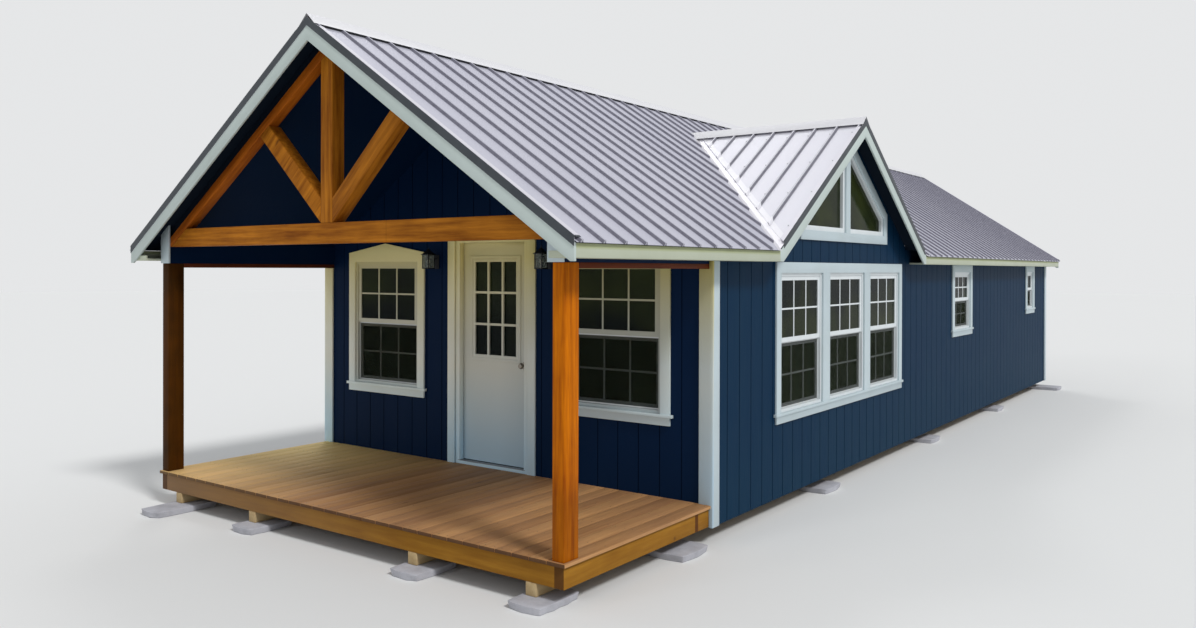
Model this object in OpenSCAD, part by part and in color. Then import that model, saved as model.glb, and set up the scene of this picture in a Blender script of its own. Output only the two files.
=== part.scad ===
/* [Floor and foundation] */
// Width of the floor frame
floor_w = 4572; // [4020:12:5400]
// Length of the floor frame, porch included
floor_l = 14021; // [11900:1:16000]
// Depth of the porch from its front edge to the house frame
porch_l = 1829; // [1400:1:2200]
// Thickness of the porch deck boards
deck_t = 25; // [20:1:40]
// How far the deck boards reach past the floor frame
deck_out = 18; // [5:1:40]
// Thickness of the house floor
subfloor_t = 19; // [15:1:30]
// Depth of the floor joists and rim boards
joist_h = 140; // [120:5:240]
// Thickness of the floor joists and rim boards
joist_t = 38; // [35:1:50]
// Spacing of the floor joists
joist_pitch = 406; // [300:2:610]
// Side of the square skid timbers
skid_s = 89; // [80:1:140]
// Distance of the outer skids from the middle of the floor
outer_skid_x = 2020; // [1700:10:2100]
// Distance of the inner skids from the middle of the floor
inner_skid_x = 940; // [600:10:1200]
// Thickness of the foundation pads
pad_t = 50; // [40:1:100]
// Long side of a foundation pad
pad_long = 610; // [500:10:800]
// Short side of a foundation pad
pad_short = 406; // [300:2:500]
// How far the front and side pads stand out past the floor frame
pad_out = 330; // [200:10:400]
// Distance of the second row of pads from the front edge
pad_row_2 = 1470; // [1200:10:1900]
// Distance of the third row of pads from the front edge
pad_row_3 = 4070; // [3000:10:5000]

/* [Walls] */
// Height of the side walls above the house floor
wall_h = 2048; // [1900:4:2400]
// Thickness of the wall framing
stud_t = 89; // [80:1:140]
// Thickness of the siding
siding_t = 16; // [10:1:25]
// How far the siding hangs below the floor frame
siding_drop = 6; // [1:1:30]
// Width of the casings and corner boards
casing_w = 89; // [70:1:100]
// Thickness of the casings and corner boards
casing_t = 19; // [15:1:25]

/* [Door] */
// Width of the door slab
door_w = 813; // [760:1:900]
// Height of the door slab
door_h = 2032; // [1920:4:2100]
// Thickness of the door slab
door_t = 44; // [38:1:50]
// Place of the door's middle across the front wall
door_x = 15; // [-60:5:60]
// Gap between the door slab and its frame
door_gap = 6; // [5:1:8]
// Thickness of the door frame
jamb_t = 32; // [25:1:38]
// Width of the door stop
stop_t = 12; // [10:1:16]
// Height of the door sill above the porch deck
sill_h = 29; // [20:1:40]
// Width of the opening for the glass in the door
lite_w = 560; // [450:5:600]
// Height of the opening for the glass in the door
lite_h = 914; // [700:5:1000]
// Height of the glass above the foot of the slab
lite_z = 958; // [900:2:1000]
// Width of the raised rim round the glass
lite_rim_w = 28; // [20:1:40]
// Height of the raised rim over the slab's face
lite_rim_t = 8; // [5:1:12]
// Height of the knob above the foot of the slab
knob_z = 914; // [850:5:1000]
// Distance of the knob from the edge of the slab
knob_in = 60; // [55:1:70]
// Radius of the knob
knob_r = 27; // [22:1:30]
// Radius of the rose behind the knob
rose_r = 32; // [28:1:36]
// Thickness of the rose behind the knob
rose_t = 8; // [5:1:12]
// Radius of the knob's neck
neck_r = 10; // [8:1:14]
// Length of the knob's neck up to the knob, and half of the knob's length beyond its middle
neck_l = 18; // [14:1:22]
// Height of a hinge
hinge_h = 100; // [76:2:120]
// Radius of the hinge knuckles
knuckle_r = 7; // [6:0.5:9]
// Thickness of the hinge leaves
leaf_t = 2.4; // [1.5:0.1:2.4]

/* [Windows] */
// Width of a large window frame
window_w = 914; // [760:2:960]
// Height of a large window frame
window_h = 1219; // [1000:2:1300]
// Width of the middle-sized window
middle_window_w = 762; // [600:2:900]
// Height of the middle-sized window
middle_window_h = 762; // [600:2:900]
// Width of the small window
small_window_w = 457; // [350:1:600]
// Height of the small window
small_window_h = 610; // [500:2:800]
// Place of the front windows from the middle
front_window_x = 1385; // [1330:5:1420]
// How far the front window heads lie below the top of the side walls
front_head_drop = 162; // [60:1:250]
// How far the side window heads lie below the eave fascia
side_head_drop = 95; // [60:5:200]
// Place of the middle-sized side window from the back edge
middle_window_back = 5361; // [4800:1:5600]
// Place of the small side window from the back edge
small_window_back = 1249; // [900:1:2400]
// Gap between the frames of the triple window
mullion_w = 164; // [100:2:200]
// Width of the fixed part of a window frame
lip_w = 26; // [20:1:35]
// Width of a sash's stiles and rails
sash_w = 40; // [30:1:45]
// Depth of a window frame
frame_d = 70; // [60:1:85]
// How far the upper sash is set back from the frame's face
sash_set = 10; // [5:1:15]
// Thickness of a sash
sash_t = 26; // [20:1:28]
// Thickness of the panes
pane_t = 6; // [4:1:8]
// How far the window sills stand out from the siding
sill_out = 30; // [25:1:50]
// Thickness of the window sills
sill_t = 25; // [20:1:30]
// Rise of the pointed heads over the front windows
head_rise = 93; // [60:1:120]
// How far the pointed heads reach past the casings
head_lap = 16; // [5:1:30]

/* [Roof] */
// Rise of the roof for each 12 of run
roof_rise = 8; // [7:0.25:9]
// Overhang of the eaves past the floor frame
eave_out = 212; // [120:2:300]
// Overhang of the gable ends past the floor frame
gable_out = 178; // [100:2:240]
// Depth of the rafters
rafter_h = 89; // [80:1:140]
// Thickness of the rafters
rafter_t = 38; // [35:1:50]
// Spacing of the rafters
rafter_pitch = 610; // [400:5:900]
// Width of the rafters' seat on the wall
seat_w = 60; // [40:1:80]
// Thickness of the roof sheathing
sheathing_t = 12; // [9:1:20]
// Gap between the sheathing panels
panel_gap = 3; // [2:0.5:6]
// Thickness of the metal roof sheets
sheet_t = 3; // [2:0.5:5]
// Height of the ribs of the roof sheets
rib_h = 19; // [12:1:30]
// Width of a rib at its foot
rib_foot = 38; // [30:1:60]
// Width of a rib at its top
rib_top = 16; // [10:1:28]
// Spacing of the ribs
rib_pitch = 229; // [150:1:305]
// Overhang of the roof sheets past the eave fascia
drip = 20; // [10:1:40]
// Height of the eave fascia
fascia_h = 89; // [80:1:140]
// Width of the rake boards, measured square to the slope
rake_h = 110; // [90:1:140]
// How far the rake boards' lower ends hang below the eave fascia
rake_foot = 20; // [0:1:30]
// Height of the board that ends the soffit behind a rake board
soffit_end_h = 45; // [30:1:80]
// Thickness of the fascia and rake boards
fascia_t = 19; // [15:1:25]
// Width of the ridge caps on each side
cap_w = 125; // [90:5:200]
// Height of the ridge caps' crown over the ribs
cap_rise = 25; // [5:1:40]
// Half of the slot between the sheets and between the sheathing under a ridge cap
ridge_slot = 12; // [5:1:30]
// Width of the open valley flashing on each side
valley_w = 45; // [30:1:80]
// How far the dark rake trim laps over the rake board
rake_trim_lap = 18; // [10:1:40]
// Thickness of the rake trim
rake_trim_t = 4; // [2:0.5:6]
// Width of the rake trim on top of the outer rib
rake_trim_w = 45; // [30:1:70]

/* [Dormer] */
// Place of the dormer's middle from the front edge
dormer_y0 = 4540; // [3900:5:4900]
// How far the dormer ridge lies below the main ridge
dormer_drop = 375; // [250:5:500]
// Height of the gable window's casing above the top of the side walls
gable_sill = 46; // [40:1:120]
// Half of the gable window's width over its casing
gable_half = 1130; // [800:5:1200]
// Gap between the gable window and the roof, measured upright
gable_gap = 90; // [60:2:180]
// Width of the board between the gable windows
gable_mullion = 110; // [80:2:160]

/* [Porch] */
// Width of the porch posts, seen from the front
post_w = 95; // [80:1:150]
// Depth of the porch posts along the building
post_d = 148; // [80:1:180]
// Height of the porch beams
beam_h = 187; // [120:1:260]
// Thickness of the plates under the porch beams
plate_t = 38; // [30:1:50]
// Thickness of the porch ceiling
ceiling_t = 12; // [9:1:20]
// How far the white boards on the beam ends reach inwards past the posts
end_board_lap = 30; // [10:1:50]
// Depth of the truss's bottom chord
chord_h = 156; // [110:2:180]
// How far the foot of the truss lies below the top of the side walls
chord_drop = 40; // [0:1:100]
// Depth of the truss's top chords
top_chord_h = 76; // [40:1:160]
// Thickness of the truss's top chords
top_chord_t = 89; // [38:1:114]
// Width of the truss king post
king_w = 136; // [100:2:180]
// Depth of the truss webs
web_h = 136; // [90:2:160]
// Thickness of the other truss timbers
truss_t = 114; // [89:1:140]
// Slope of the truss webs in degrees
web_angle = 43; // [35:1:55]

/* [Lanterns] */
// Height of the foot of a lantern above the deck
lantern_z = 1812; // [1700:5:1850]
// Height of a lantern's cage
lantern_h = 130; // [100:2:180]
// Side of a lantern's cage
lantern_s = 84; // [60:2:100]
// Distance of the cage's middle from the wall
lantern_out = 110; // [70:1:120]
// Thickness of the bars of a lantern
lantern_bar = 8; // [6:1:12]
// Height of a lantern's roof
lantern_roof = 46; // [30:1:60]

/* [Hidden] */
eps = 0.01;
big = 20000;

// Heights, from the ground up
frame_z = pad_t + skid_s;
joist_top = frame_z + joist_h;
deck_z = joist_top + deck_t;
floor_z = joist_top + subfloor_t;
siding_z = frame_z - siding_drop;
wall_top = floor_z + wall_h;
beam_z = wall_top - beam_h;
chord_foot = wall_top - chord_drop;
plate_z = beam_z - plate_t;

// Roof planes: the upper face of the sheathing, as heights over the ground
slope = roof_rise / 12;
pitch_deg = atan(slope);
plumb = 1 / cos(pitch_deg);
half_w = floor_w / 2;
eave_x = half_w + eave_out;
ridge_z = wall_top + (rafter_h + sheathing_t) * plumb + (half_w - seat_w) * slope;
dormer_ridge_z = ridge_z - dormer_drop;
under_roof = sheathing_t * plumb;
rib_top_z = sheet_t + rib_h;
fascia_z = floor(ridge_z - slope * eave_x - under_roof - fascia_h);
function slope_len(run) = run * plumb;

// Places along the building, with the middle of its length at zero
front_reach = max(pad_out, gable_out + rake_trim_t);
back_reach = gable_out + rake_trim_t;
front_y = -(floor_l + back_reach - front_reach) / 2;
back_y = front_y + floor_l;
house_y = front_y + porch_l;
dormer_y = front_y + dormer_y0;
valley_x = dormer_drop / slope;
dormer_half = eave_x - valley_x;
gable_front_y = front_y - gable_out;
gable_back_y = back_y + gable_out;

// Faces of the walls
outer_x = half_w + siding_t;
inner_x = half_w - stud_t;
post_x = half_w - post_w;
front_face_y = house_y - siding_t;
back_face_y = back_y + siding_t;

// Doorway, door and hinge pin
slab_z = deck_z + sill_h + door_gap;
slab_y = house_y + stud_t - door_t;
door_top = slab_z + door_h + door_gap;
doorway_top = door_top + jamb_t;
doorway_half = door_w / 2 + door_gap + jamb_t;
hinge_x = door_x - door_w / 2 - door_gap;
latch_x = door_x + door_w / 2 + door_gap;
pin_x = hinge_x + door_gap / 2;
pin_y = slab_y + door_t + knuckle_r;

// Colours
navy = [0.12, 0.2, 0.29];
white = [0.86, 0.88, 0.86];
cream = [0.82, 0.83, 0.76];
timber = [0.62, 0.36, 0.12];
deck_wood = [0.62, 0.45, 0.28];
raw_wood = [0.72, 0.6, 0.42];
metal = [0.78, 0.78, 0.83];
dark_metal = [0.22, 0.24, 0.26];
concrete = [0.72, 0.72, 0.74];
glazing = [0.55, 0.65, 0.7, 0.5];

// Shared forms

// A block given by its lower and upper corners
module block(a, b) {
    translate(a)
        cube(b - a);
}

// The same pieces on the right and on the left
module both_sides() {
    children();
    mirror([1, 0, 0])
        children();
}

// An outline in x and z, standing from y1 to y2
module upright_x(y1, y2) {
    translate([0, y2, 0])
        rotate([90, 0, 0])
            linear_extrude(y2 - y1)
                children();
}

// An outline in y and z, standing from x1 to x2
module upright_y(x1, x2) {
    translate([x1, 0, 0])
        rotate([90, 0, 90])
            linear_extrude(x2 - x1)
                children();
}

// The right-hand roof slope's own frame: x runs down the slope, z stands square to it
module on_right_slope() {
    translate([0, 0, ridge_z])
        rotate([0, pitch_deg, 0])
            children();
}

module on_left_slope() {
    mirror([1, 0, 0])
        on_right_slope()
            children();
}

// The dormer's front slope in the same way: x runs down the slope, y along the ridge
module on_dormer_front() {
    translate([0, dormer_y, dormer_ridge_z])
        rotate([0, 0, -90])
            rotate([0, pitch_deg, 0])
                children();
}

module mirror_dormer() {
    translate([0, dormer_y, 0])
        mirror([0, 1, 0])
            translate([0, -dormer_y, 0])
                children();
}

// Everything below a plane that lies the given height over the right-hand slope
module below_right_slope(height) {
    on_right_slope()
        translate([-big, -big, height - big])
            cube([2 * big, 2 * big, big]);
}

// A slope's outline from plan points, the run down the slope first
module slope_outline(points) {
    polygon([for (p = points) [slope_len(p[0]), p[1]]]);
}

// A pair of sloping bands that meet at a point over zero, with plumb ends
module slope_band(half, top, bottom) {
    polygon([[-half, top - slope * half], [0, top], [half, top - slope * half],
             [half, bottom - slope * half], [0, bottom], [-half, bottom - slope * half]]);
}

// All that lies lower than a plane parallel to the roof, seen along the building
module under_sheathing(drop) {
    z = ridge_z - under_roof - drop * plumb;
    polygon([[-big, z - slope * big], [0, z], [big, z - slope * big], [big, -big], [-big, -big]]);
}

// The part of a rectangle that lies under the sheathing
module wall_outline(half, z1, z2) {
    intersection() {
        translate([-half, z1])
            square([2 * half, z2 - z1]);
        under_sheathing(0);
    }
}

// Foundation and floor

skid_places = [-outer_skid_x, -inner_skid_x, inner_skid_x, outer_skid_x];
last_row_y = back_y - pad_short / 2;
row_pitch = (last_row_y - front_y - pad_row_3) / 3;
back_rows = [for (i = [0 : 3]) front_y + pad_row_3 + i * row_pitch];
pad_rows = concat([front_y + pad_row_2], back_rows);

module pad(x, y, w, l) {
    translate([x - w / 2, y - l / 2, 0])
        cube([w, l, pad_t]);
}

module foundation_pads() {
    side_x = half_w + pad_out - pad_long / 2;
    color(concrete) {
        for (x = skid_places)
            pad(x, front_y - pad_out + pad_long / 2, pad_short, pad_long);
        for (y = pad_rows)
            for (x = [-side_x, -inner_skid_x, inner_skid_x, side_x])
                pad(x, y, pad_long, pad_short);
    }
}

module skids() {
    color(raw_wood)
        for (x = skid_places)
            block([x - skid_s / 2, front_y, pad_t], [x + skid_s / 2, back_y, frame_z]);
}

// Boards along both sides of the house floor
module floor_rims() {
    color(raw_wood)
        both_sides()
            block([half_w - joist_t, house_y, frame_z], [half_w, back_y, joist_top]);
}

// Joists across the building, under the porch as well, and the end board at the back
module floor_joists() {
    bays = ceil((floor_l - 2 * joist_t) / joist_pitch);
    step = (floor_l - 2 * joist_t) / bays;
    color(raw_wood)
        for (i = [1 : bays])
            translate([-half_w + joist_t, front_y + joist_t + i * step, frame_z])
                cube([floor_w - 2 * joist_t, joist_t, joist_h]);
}

module porch_rim() {
    color(deck_wood)
        difference() {
            block([-half_w, front_y, frame_z], [half_w, house_y, joist_top]);
            block([-half_w + joist_t, front_y + joist_t, frame_z - 1],
                  [half_w - joist_t, house_y + 1, joist_top + 1]);
        }
}

module porch_deck() {
    color(deck_wood)
        difference() {
            block([-half_w - deck_out, front_y - deck_out, joist_top],
                  [half_w + deck_out, front_face_y, deck_z]);
            both_sides()
                block([half_w, front_face_y - casing_t, joist_top - 1],
                      [half_w + 2 * deck_out, front_face_y + 1, deck_z + 1]);
        }
}

module house_floor() {
    color(raw_wood)
        block([-half_w, house_y, joist_top], [half_w, back_y, floor_z]);
}

// Porch posts, beams, plates and ceiling

module porch_posts() {
    color(timber)
        both_sides()
            block([post_x, front_y, deck_z], [half_w, front_y + post_d, beam_z]);
}

module porch_beams() {
    color(navy)
        both_sides()
            block([post_x, front_y, beam_z], [half_w, front_face_y, wall_top]);
}

module porch_plates() {
    color(timber)
        both_sides()
            block([post_x, front_y + post_d, plate_z], [half_w, front_face_y, beam_z]);
}

module porch_ceiling() {
    color(navy)
        upright_x(front_y + truss_t, front_face_y)
            intersection() {
                translate([-half_w, wall_top])
                    square([floor_w, big]);
                difference() {
                    under_sheathing(rafter_h);
                    under_sheathing(rafter_h + ceiling_t);
                }
            }
}

// Porch truss: it stands between the beams, with its top chords under the first rafters

module truss_bottom_chord() {
    color(timber)
        upright_x(front_y, front_y + truss_t)
            intersection() {
                translate([-post_x, chord_foot])
                    square([2 * post_x, chord_h]);
                under_sheathing(rafter_h + top_chord_h);
            }
}

module top_chord() {
    upright_x(front_y, front_y + top_chord_t)
        difference() {
            intersection() {
                under_sheathing(rafter_h);
                translate([0, chord_foot])
                    square([post_x, big]);
            }
            under_sheathing(rafter_h + top_chord_h);
        }
}

module truss_top_chord_left() {
    color(timber)
        mirror([1, 0, 0])
            top_chord();
}

module truss_top_chord_right() {
    color(timber)
        top_chord();
}

module truss_king_post() {
    color(timber)
        upright_x(front_y, front_y + truss_t)
            intersection() {
                translate([-king_w / 2, chord_foot + chord_h])
                    square([king_w, big]);
                under_sheathing(rafter_h + top_chord_h);
            }
}

module web() {
    foot_z = chord_foot + chord_h;
    upright_x(front_y, front_y + truss_t)
        intersection() {
            translate([king_w / 2, foot_z])
                rotate(web_angle)
                    translate([-web_h, 0])
                        square([half_w, web_h]);
            translate([king_w / 2, foot_z])
                square([half_w, big]);
            under_sheathing(rafter_h + top_chord_h);
        }
}

module truss_webs() {
    color(timber)
        both_sides()
            web();
}

// Walls: the framing inside and the siding over it

// Windows of the side walls: place along the wall, width and height
triple_pitch = window_w + mullion_w;
triple_windows = [for (i = [-1 : 1]) [dormer_y + i * triple_pitch, window_w, window_h]];
single_windows = [
    [back_y - middle_window_back, middle_window_w, middle_window_h],
    [back_y - small_window_back, small_window_w, small_window_h]
];
right_windows = concat(triple_windows, single_windows);
left_windows = concat([triple_windows[1]], single_windows);
head_z = fascia_z - side_head_drop;
front_head_z = wall_top - front_head_drop;

// Height at which the front wall parts into its two halves and its gable
front_split_z = max(doorway_top, wall_top);

module opening_x(x, z) {
    block([x - window_w / 2, -big, z - window_h], [x + window_w / 2, big, z]);
}

module front_wall_half(side) {
    color(navy)
        difference() {
            union() {
                upright_x(house_y, house_y + stud_t)
                    wall_outline(inner_x, floor_z, front_split_z);
                upright_x(front_face_y, house_y)
                    wall_outline(half_w, joist_top, front_split_z);
            }
            block([side > 0 ? -big : door_x - doorway_half, -big, -big],
                  [side > 0 ? door_x + doorway_half : big, big, big]);
            opening_x(side * front_window_x, front_head_z);
        }
}

module front_wall_left() {
    front_wall_half(-1);
}

module front_wall_right() {
    front_wall_half(1);
}

// The gable, with the piece over the doorway if the doorway is lower than the side walls
module gable_outline(half) {
    wall_outline(half, front_split_z, ridge_z);
    if (doorway_top < front_split_z)
        translate([door_x - doorway_half, doorway_top])
            square([2 * doorway_half, front_split_z - doorway_top + eps]);
}

module front_gable_wall() {
    color(navy) {
        upright_x(house_y, house_y + stud_t)
            gable_outline(inner_x);
        upright_x(front_face_y, house_y)
            gable_outline(half_w);
    }
}

module back_wall() {
    color(navy)
        difference() {
            union() {
                upright_x(back_y - stud_t, back_y)
                    wall_outline(inner_x, floor_z, ridge_z);
                upright_x(back_y, back_face_y)
                    wall_outline(half_w, siding_z, ridge_z);
            }
            opening_x(0, head_z);
        }
}

module side_wall(windows) {
    color(navy)
        difference() {
            union() {
                block([inner_x, house_y, floor_z], [half_w, back_y, wall_top]);
                block([half_w, front_face_y, siding_z], [outer_x, back_face_y, fascia_z]);
            }
            for (w = windows)
                block([0, w[0] - w[1] / 2, head_z - w[2]], [big, w[0] + w[1] / 2, head_z]);
        }
}

module left_wall() {
    mirror([1, 0, 0])
        side_wall(left_windows);
}

module right_wall() {
    side_wall(right_windows);
}

// Outline of the dormer's gable in y and z, under its roof
module dormer_outline(half, z1) {
    top = dormer_ridge_z - under_roof;
    intersection() {
        polygon([[dormer_y - big, top - slope * big], [dormer_y, top], [dormer_y + big, top - slope * big]]);
        translate([dormer_y - half, z1])
            square([2 * half, big]);
    }
}

// Outline of the pair of gable windows over their casing, made smaller by inset
module gable_window_outline(inset) {
    top = dormer_ridge_z - under_roof - gable_gap - inset * plumb;
    half = gable_half - inset;
    z1 = wall_top + gable_sill + inset;
    z2 = top - half * slope;
    polygon([[dormer_y - half, z1], [dormer_y + half, z1], [dormer_y + half, z2],
             [dormer_y, top], [dormer_y - half, z2]]);
}

module dormer_siding() {
    upright_y(half_w, outer_x)
        dormer_outline(dormer_half, fascia_z);
}

// The framing of the dormer's gable ends where the valleys cross it
module dormer_gable_wall() {
    color(navy)
        difference() {
            union() {
                upright_y(inner_x, half_w)
                    dormer_outline(inner_x - valley_x, wall_top);
                dormer_siding();
            }
            upright_y(0, big)
                gable_window_outline(casing_w);
        }
}

// Roof frame: rafters against a ridge board, with sheathing over them

function rafter_rows(y1, y2) =
    let (n = floor((y2 - y1 - rafter_t) / rafter_pitch))
    [for (i = [0 : n]) y1 + i * (y2 - y1 - rafter_t) / n];

porch_rows = [front_y + (truss_t - rafter_t) / 2, (front_y + house_y) / 2];
house_rows = rafter_rows(house_y + stud_t, back_y - stud_t);
main_rows = concat(porch_rows, house_rows);
tail_x = eave_x - fascia_t;
ridge_half = rafter_t / 2;

// Everything nearer to the middle than the given distance
module near_ridge(x) {
    block([-big, -big, -big], [x, big, big]);
}

// What the beams, the walls and the soffits take out of the feet of the rafters
module seats() {
    block([post_x, -big, -big], [big, big, wall_top]);
    block([half_w, -big, -big], [big, big, fascia_z + fascia_t]);
}

// Plan outline of the right-hand slope from one gable to the valley, towards the front or the
// back, as far out as edge_x
function right_plan(edge_x, edge_y, side) =
    [[0, edge_y], [edge_x, edge_y], [edge_x, dormer_y + side * (edge_x - valley_x)],
     [valley_x, dormer_y], [0, dormer_y]];

// The rafters at each place in rows that lie inside the outline given as the children
module rafter_set(rows) {
    translate([0, 0, -sheathing_t - rafter_h])
        linear_extrude(rafter_h)
            intersection() {
                children();
                for (y = rows)
                    translate([0, y])
                        square([big, rafter_t]);
            }
}

module sheathing() {
    translate([0, 0, -sheathing_t])
        linear_extrude(sheathing_t)
            children();
}

module right_rafters(rows, edge_y, side) {
    difference() {
        on_right_slope()
            rafter_set(rows)
                slope_outline(right_plan(tail_x, edge_y, side));
        seats();
        near_ridge(ridge_half);
        dormer_siding();
    }
}

module rafters() {
    color(raw_wood) {
        mirror([1, 0, 0])
            difference() {
                on_right_slope()
                    rafter_set(main_rows)
                        slope_outline([[0, front_y], [tail_x, front_y], [tail_x, back_y], [0, back_y]]);
                seats();
                near_ridge(ridge_half);
            }
        right_rafters([for (y = main_rows) if (y < dormer_y - rafter_t) y], front_y, -1);
        right_rafters([for (y = main_rows) if (y > dormer_y) y], back_y, 1);
    }
}

// Ridge boards stand between the rafters, just under the sheathing
ridge_top = -under_roof - ridge_half * slope - 1;
ridge_foot = -under_roof - rafter_h * plumb;

module ridge_board_outline() {
    translate([-ridge_half, ridge_foot])
        square([2 * ridge_half, ridge_top - ridge_foot]);
}

module ridge_boards() {
    spans = [[gable_front_y + fascia_t, front_face_y], [house_y + stud_t, back_y - stud_t],
             [back_face_y, gable_back_y - fascia_t]];
    color(raw_wood) {
        for (s = spans)
            upright_x(s[0], s[1])
                translate([0, ridge_z])
                    ridge_board_outline();
        difference() {
            upright_y(valley_x, inner_x)
                translate([dormer_y, dormer_ridge_z])
                    ridge_board_outline();
            below_right_slope(0);
        }
    }
}

// The sheathing leaves a slot along the ridge and a gap between its panels beside the dormer
module right_sheathing(edge_y, side) {
    difference() {
        on_right_slope()
            sheathing()
                slope_outline(right_plan(eave_x, edge_y, side));
        near_ridge(ridge_slot);
        dormer_siding();
        block([-big, dormer_y - panel_gap / 2, -big], [valley_x + panel_gap, dormer_y + panel_gap / 2, big]);
    }
}

module roof_sheathing() {
    color(raw_wood) {
        mirror([1, 0, 0])
            difference() {
                on_right_slope()
                    sheathing()
                        slope_outline([[0, gable_front_y], [eave_x, gable_front_y],
                                       [eave_x, gable_back_y], [0, gable_back_y]]);
                near_ridge(ridge_slot);
            }
        right_sheathing(gable_front_y, -1);
        right_sheathing(gable_back_y, 1);
    }
}

// The dormer's rafters run from its ridge board down to the valleys, fixed to their sheathing
dormer_rows = [for (x = [valley_x + rafter_pitch : rafter_pitch : inner_x - rafter_t]) x];

module dormer_slope_frame() {
    difference() {
        on_dormer_front() {
            sheathing()
                slope_outline([[0, valley_x], [0, eave_x], [dormer_half, eave_x]]);
            rafter_set(dormer_rows)
                slope_outline([[0, valley_x], [0, eave_x], [dormer_half, eave_x]]);
        }
        below_right_slope(0);
        block([-big, dormer_y - ridge_half, -big], [big, big, big]);
    }
}

module dormer_frames() {
    color(raw_wood) {
        dormer_slope_frame();
        mirror_dormer()
            dormer_slope_frame();
    }
}

// Metal sheets: a flat pan with ribs that run down the slope

module rib_profile() {
    polygon([[-rib_foot / 2, sheet_t - 1], [rib_foot / 2, sheet_t - 1],
             [rib_top / 2, rib_top_z], [-rib_top / 2, rib_top_z]]);
}

// Ribs at each place in rows, cut to the outline given as the children
module ribbed_sheet(rows) {
    linear_extrude(sheet_t)
        children();
    intersection() {
        linear_extrude(rib_top_z + 1)
            children();
        for (y = rows)
            translate([0, y, 0])
                rotate([90, 0, 90])
                    linear_extrude(big)
                        rib_profile();
    }
}

// Ribs are spread between the gable edges, so that each run of sheets ends on a rib
function rib_rows(y1, y2) =
    let (n = round((y2 - y1) / rib_pitch))
    [for (i = [0 : n]) y1 + i * (y2 - y1) / n];

main_ribs = rib_rows(gable_front_y + rib_foot, gable_back_y - rib_foot);
dormer_ribs = [for (x = [eave_x - rib_foot : -rib_pitch : valley_x]) x];
drip_x = eave_x + drip;
valley_gap = valley_w * sqrt(2);
strip_w = valley_gap - 1;

// The sheet's edge runs beside the valley flashing and, over the dormer, meets its neighbour
module right_sheet(edge_y, side) {
    on_right_slope()
        ribbed_sheet(main_ribs)
            slope_outline([[ridge_slot, edge_y], [drip_x, edge_y],
                           [drip_x, dormer_y + side * (dormer_half + drip + valley_gap)],
                           [valley_x, dormer_y + side * valley_gap],
                           [valley_x - valley_gap, dormer_y + side * 0.5],
                           [ridge_slot, dormer_y + side * 0.5]]);
}

module dormer_sheet() {
    on_dormer_front()
        ribbed_sheet(dormer_ribs)
            slope_outline([[ridge_slot, valley_x + valley_gap + ridge_slot],
                           [dormer_half - valley_gap, eave_x], [ridge_slot, eave_x]]);
}

module roof_sheets() {
    color(metal) {
        on_left_slope()
            ribbed_sheet(main_ribs)
                slope_outline([[ridge_slot, gable_front_y], [drip_x, gable_front_y],
                               [drip_x, gable_back_y], [ridge_slot, gable_back_y]]);
        right_sheet(gable_front_y, -1);
        right_sheet(gable_back_y, 1);
        dormer_sheet();
        mirror_dormer()
            dormer_sheet();
    }
}

// A bent cap with its feet on the ribs and a raised crown, the ridge of the sheathing at zero
module cap_section() {
    crown = rib_top_z * plumb + cap_rise;
    foot = rib_top_z * plumb - slope * cap_w;
    t = sheet_t * plumb;
    polygon([[-cap_w, foot], [0, crown], [cap_w, foot],
             [cap_w, foot + t], [0, crown + t], [-cap_w, foot + t]]);
}

// The dormer's cap is cut where it runs into the main slope
module ridge_caps() {
    color(metal) {
        upright_x(gable_front_y - rake_trim_t, gable_back_y + rake_trim_t)
            translate([0, ridge_z])
                cap_section();
        difference() {
            upright_y(valley_x - cap_w, eave_x + rake_trim_t)
                translate([dormer_y, dormer_ridge_z])
                    cap_section();
            below_right_slope(sheet_t + 1);
        }
    }
}

// The valley flashing lies on both slopes, in the gap between the sheets. The plates of the two
// slopes meet on the upright plane over the valley
module valley_strip() {
    lap = 5;
    foot_y = dormer_y - dormer_half - drip;
    intersection() {
        on_right_slope()
            linear_extrude(sheet_t)
                slope_outline([[valley_x + lap, dormer_y], [valley_x - strip_w, dormer_y],
                               [valley_x, dormer_y - strip_w], [drip_x, foot_y - strip_w],
                               [drip_x, foot_y + lap]]);
        linear_extrude(big)
            polygon([[valley_x, dormer_y], [drip_x, foot_y], [drip_x, foot_y - big],
                     [-big, foot_y - big], [-big, dormer_y]]);
    }
    intersection() {
        on_dormer_front()
            linear_extrude(sheet_t)
                slope_outline([[ridge_slot, valley_x + ridge_slot - lap], [ridge_slot, valley_x + strip_w],
                               [dormer_half - strip_w, eave_x], [dormer_half + lap, eave_x]]);
        linear_extrude(big)
            polygon([[valley_x, dormer_y], [drip_x, foot_y], [big, foot_y], [big, dormer_y]]);
    }
}

module valley_flashing() {
    color(metal) {
        valley_strip();
        mirror_dormer()
            valley_strip();
    }
}

// Boards along the eaves: a fascia with the soffit behind it, from inner_edge outwards
module eave_box(y1, y2, inner_edge) {
    block([eave_x - fascia_t, y1, fascia_z], [eave_x, y2, fascia_z + fascia_h]);
    block([inner_edge, y1, fascia_z], [eave_x - fascia_t, y2, fascia_z + fascia_t]);
}

module eave_fascias() {
    y1 = gable_front_y + fascia_t;
    y2 = gable_back_y - fascia_t;
    color(cream) {
        both_sides() {
            eave_box(y1, front_face_y, half_w);
            block([half_w, y1, fascia_z], [eave_x, y1 + fascia_t, fascia_z + soffit_end_h]);
        }
        mirror([1, 0, 0])
            eave_box(front_face_y, y2, outer_x);
        eave_box(front_face_y, dormer_y - dormer_half, outer_x);
        eave_box(dormer_y + dormer_half, y2, outer_x);
    }
}

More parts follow.
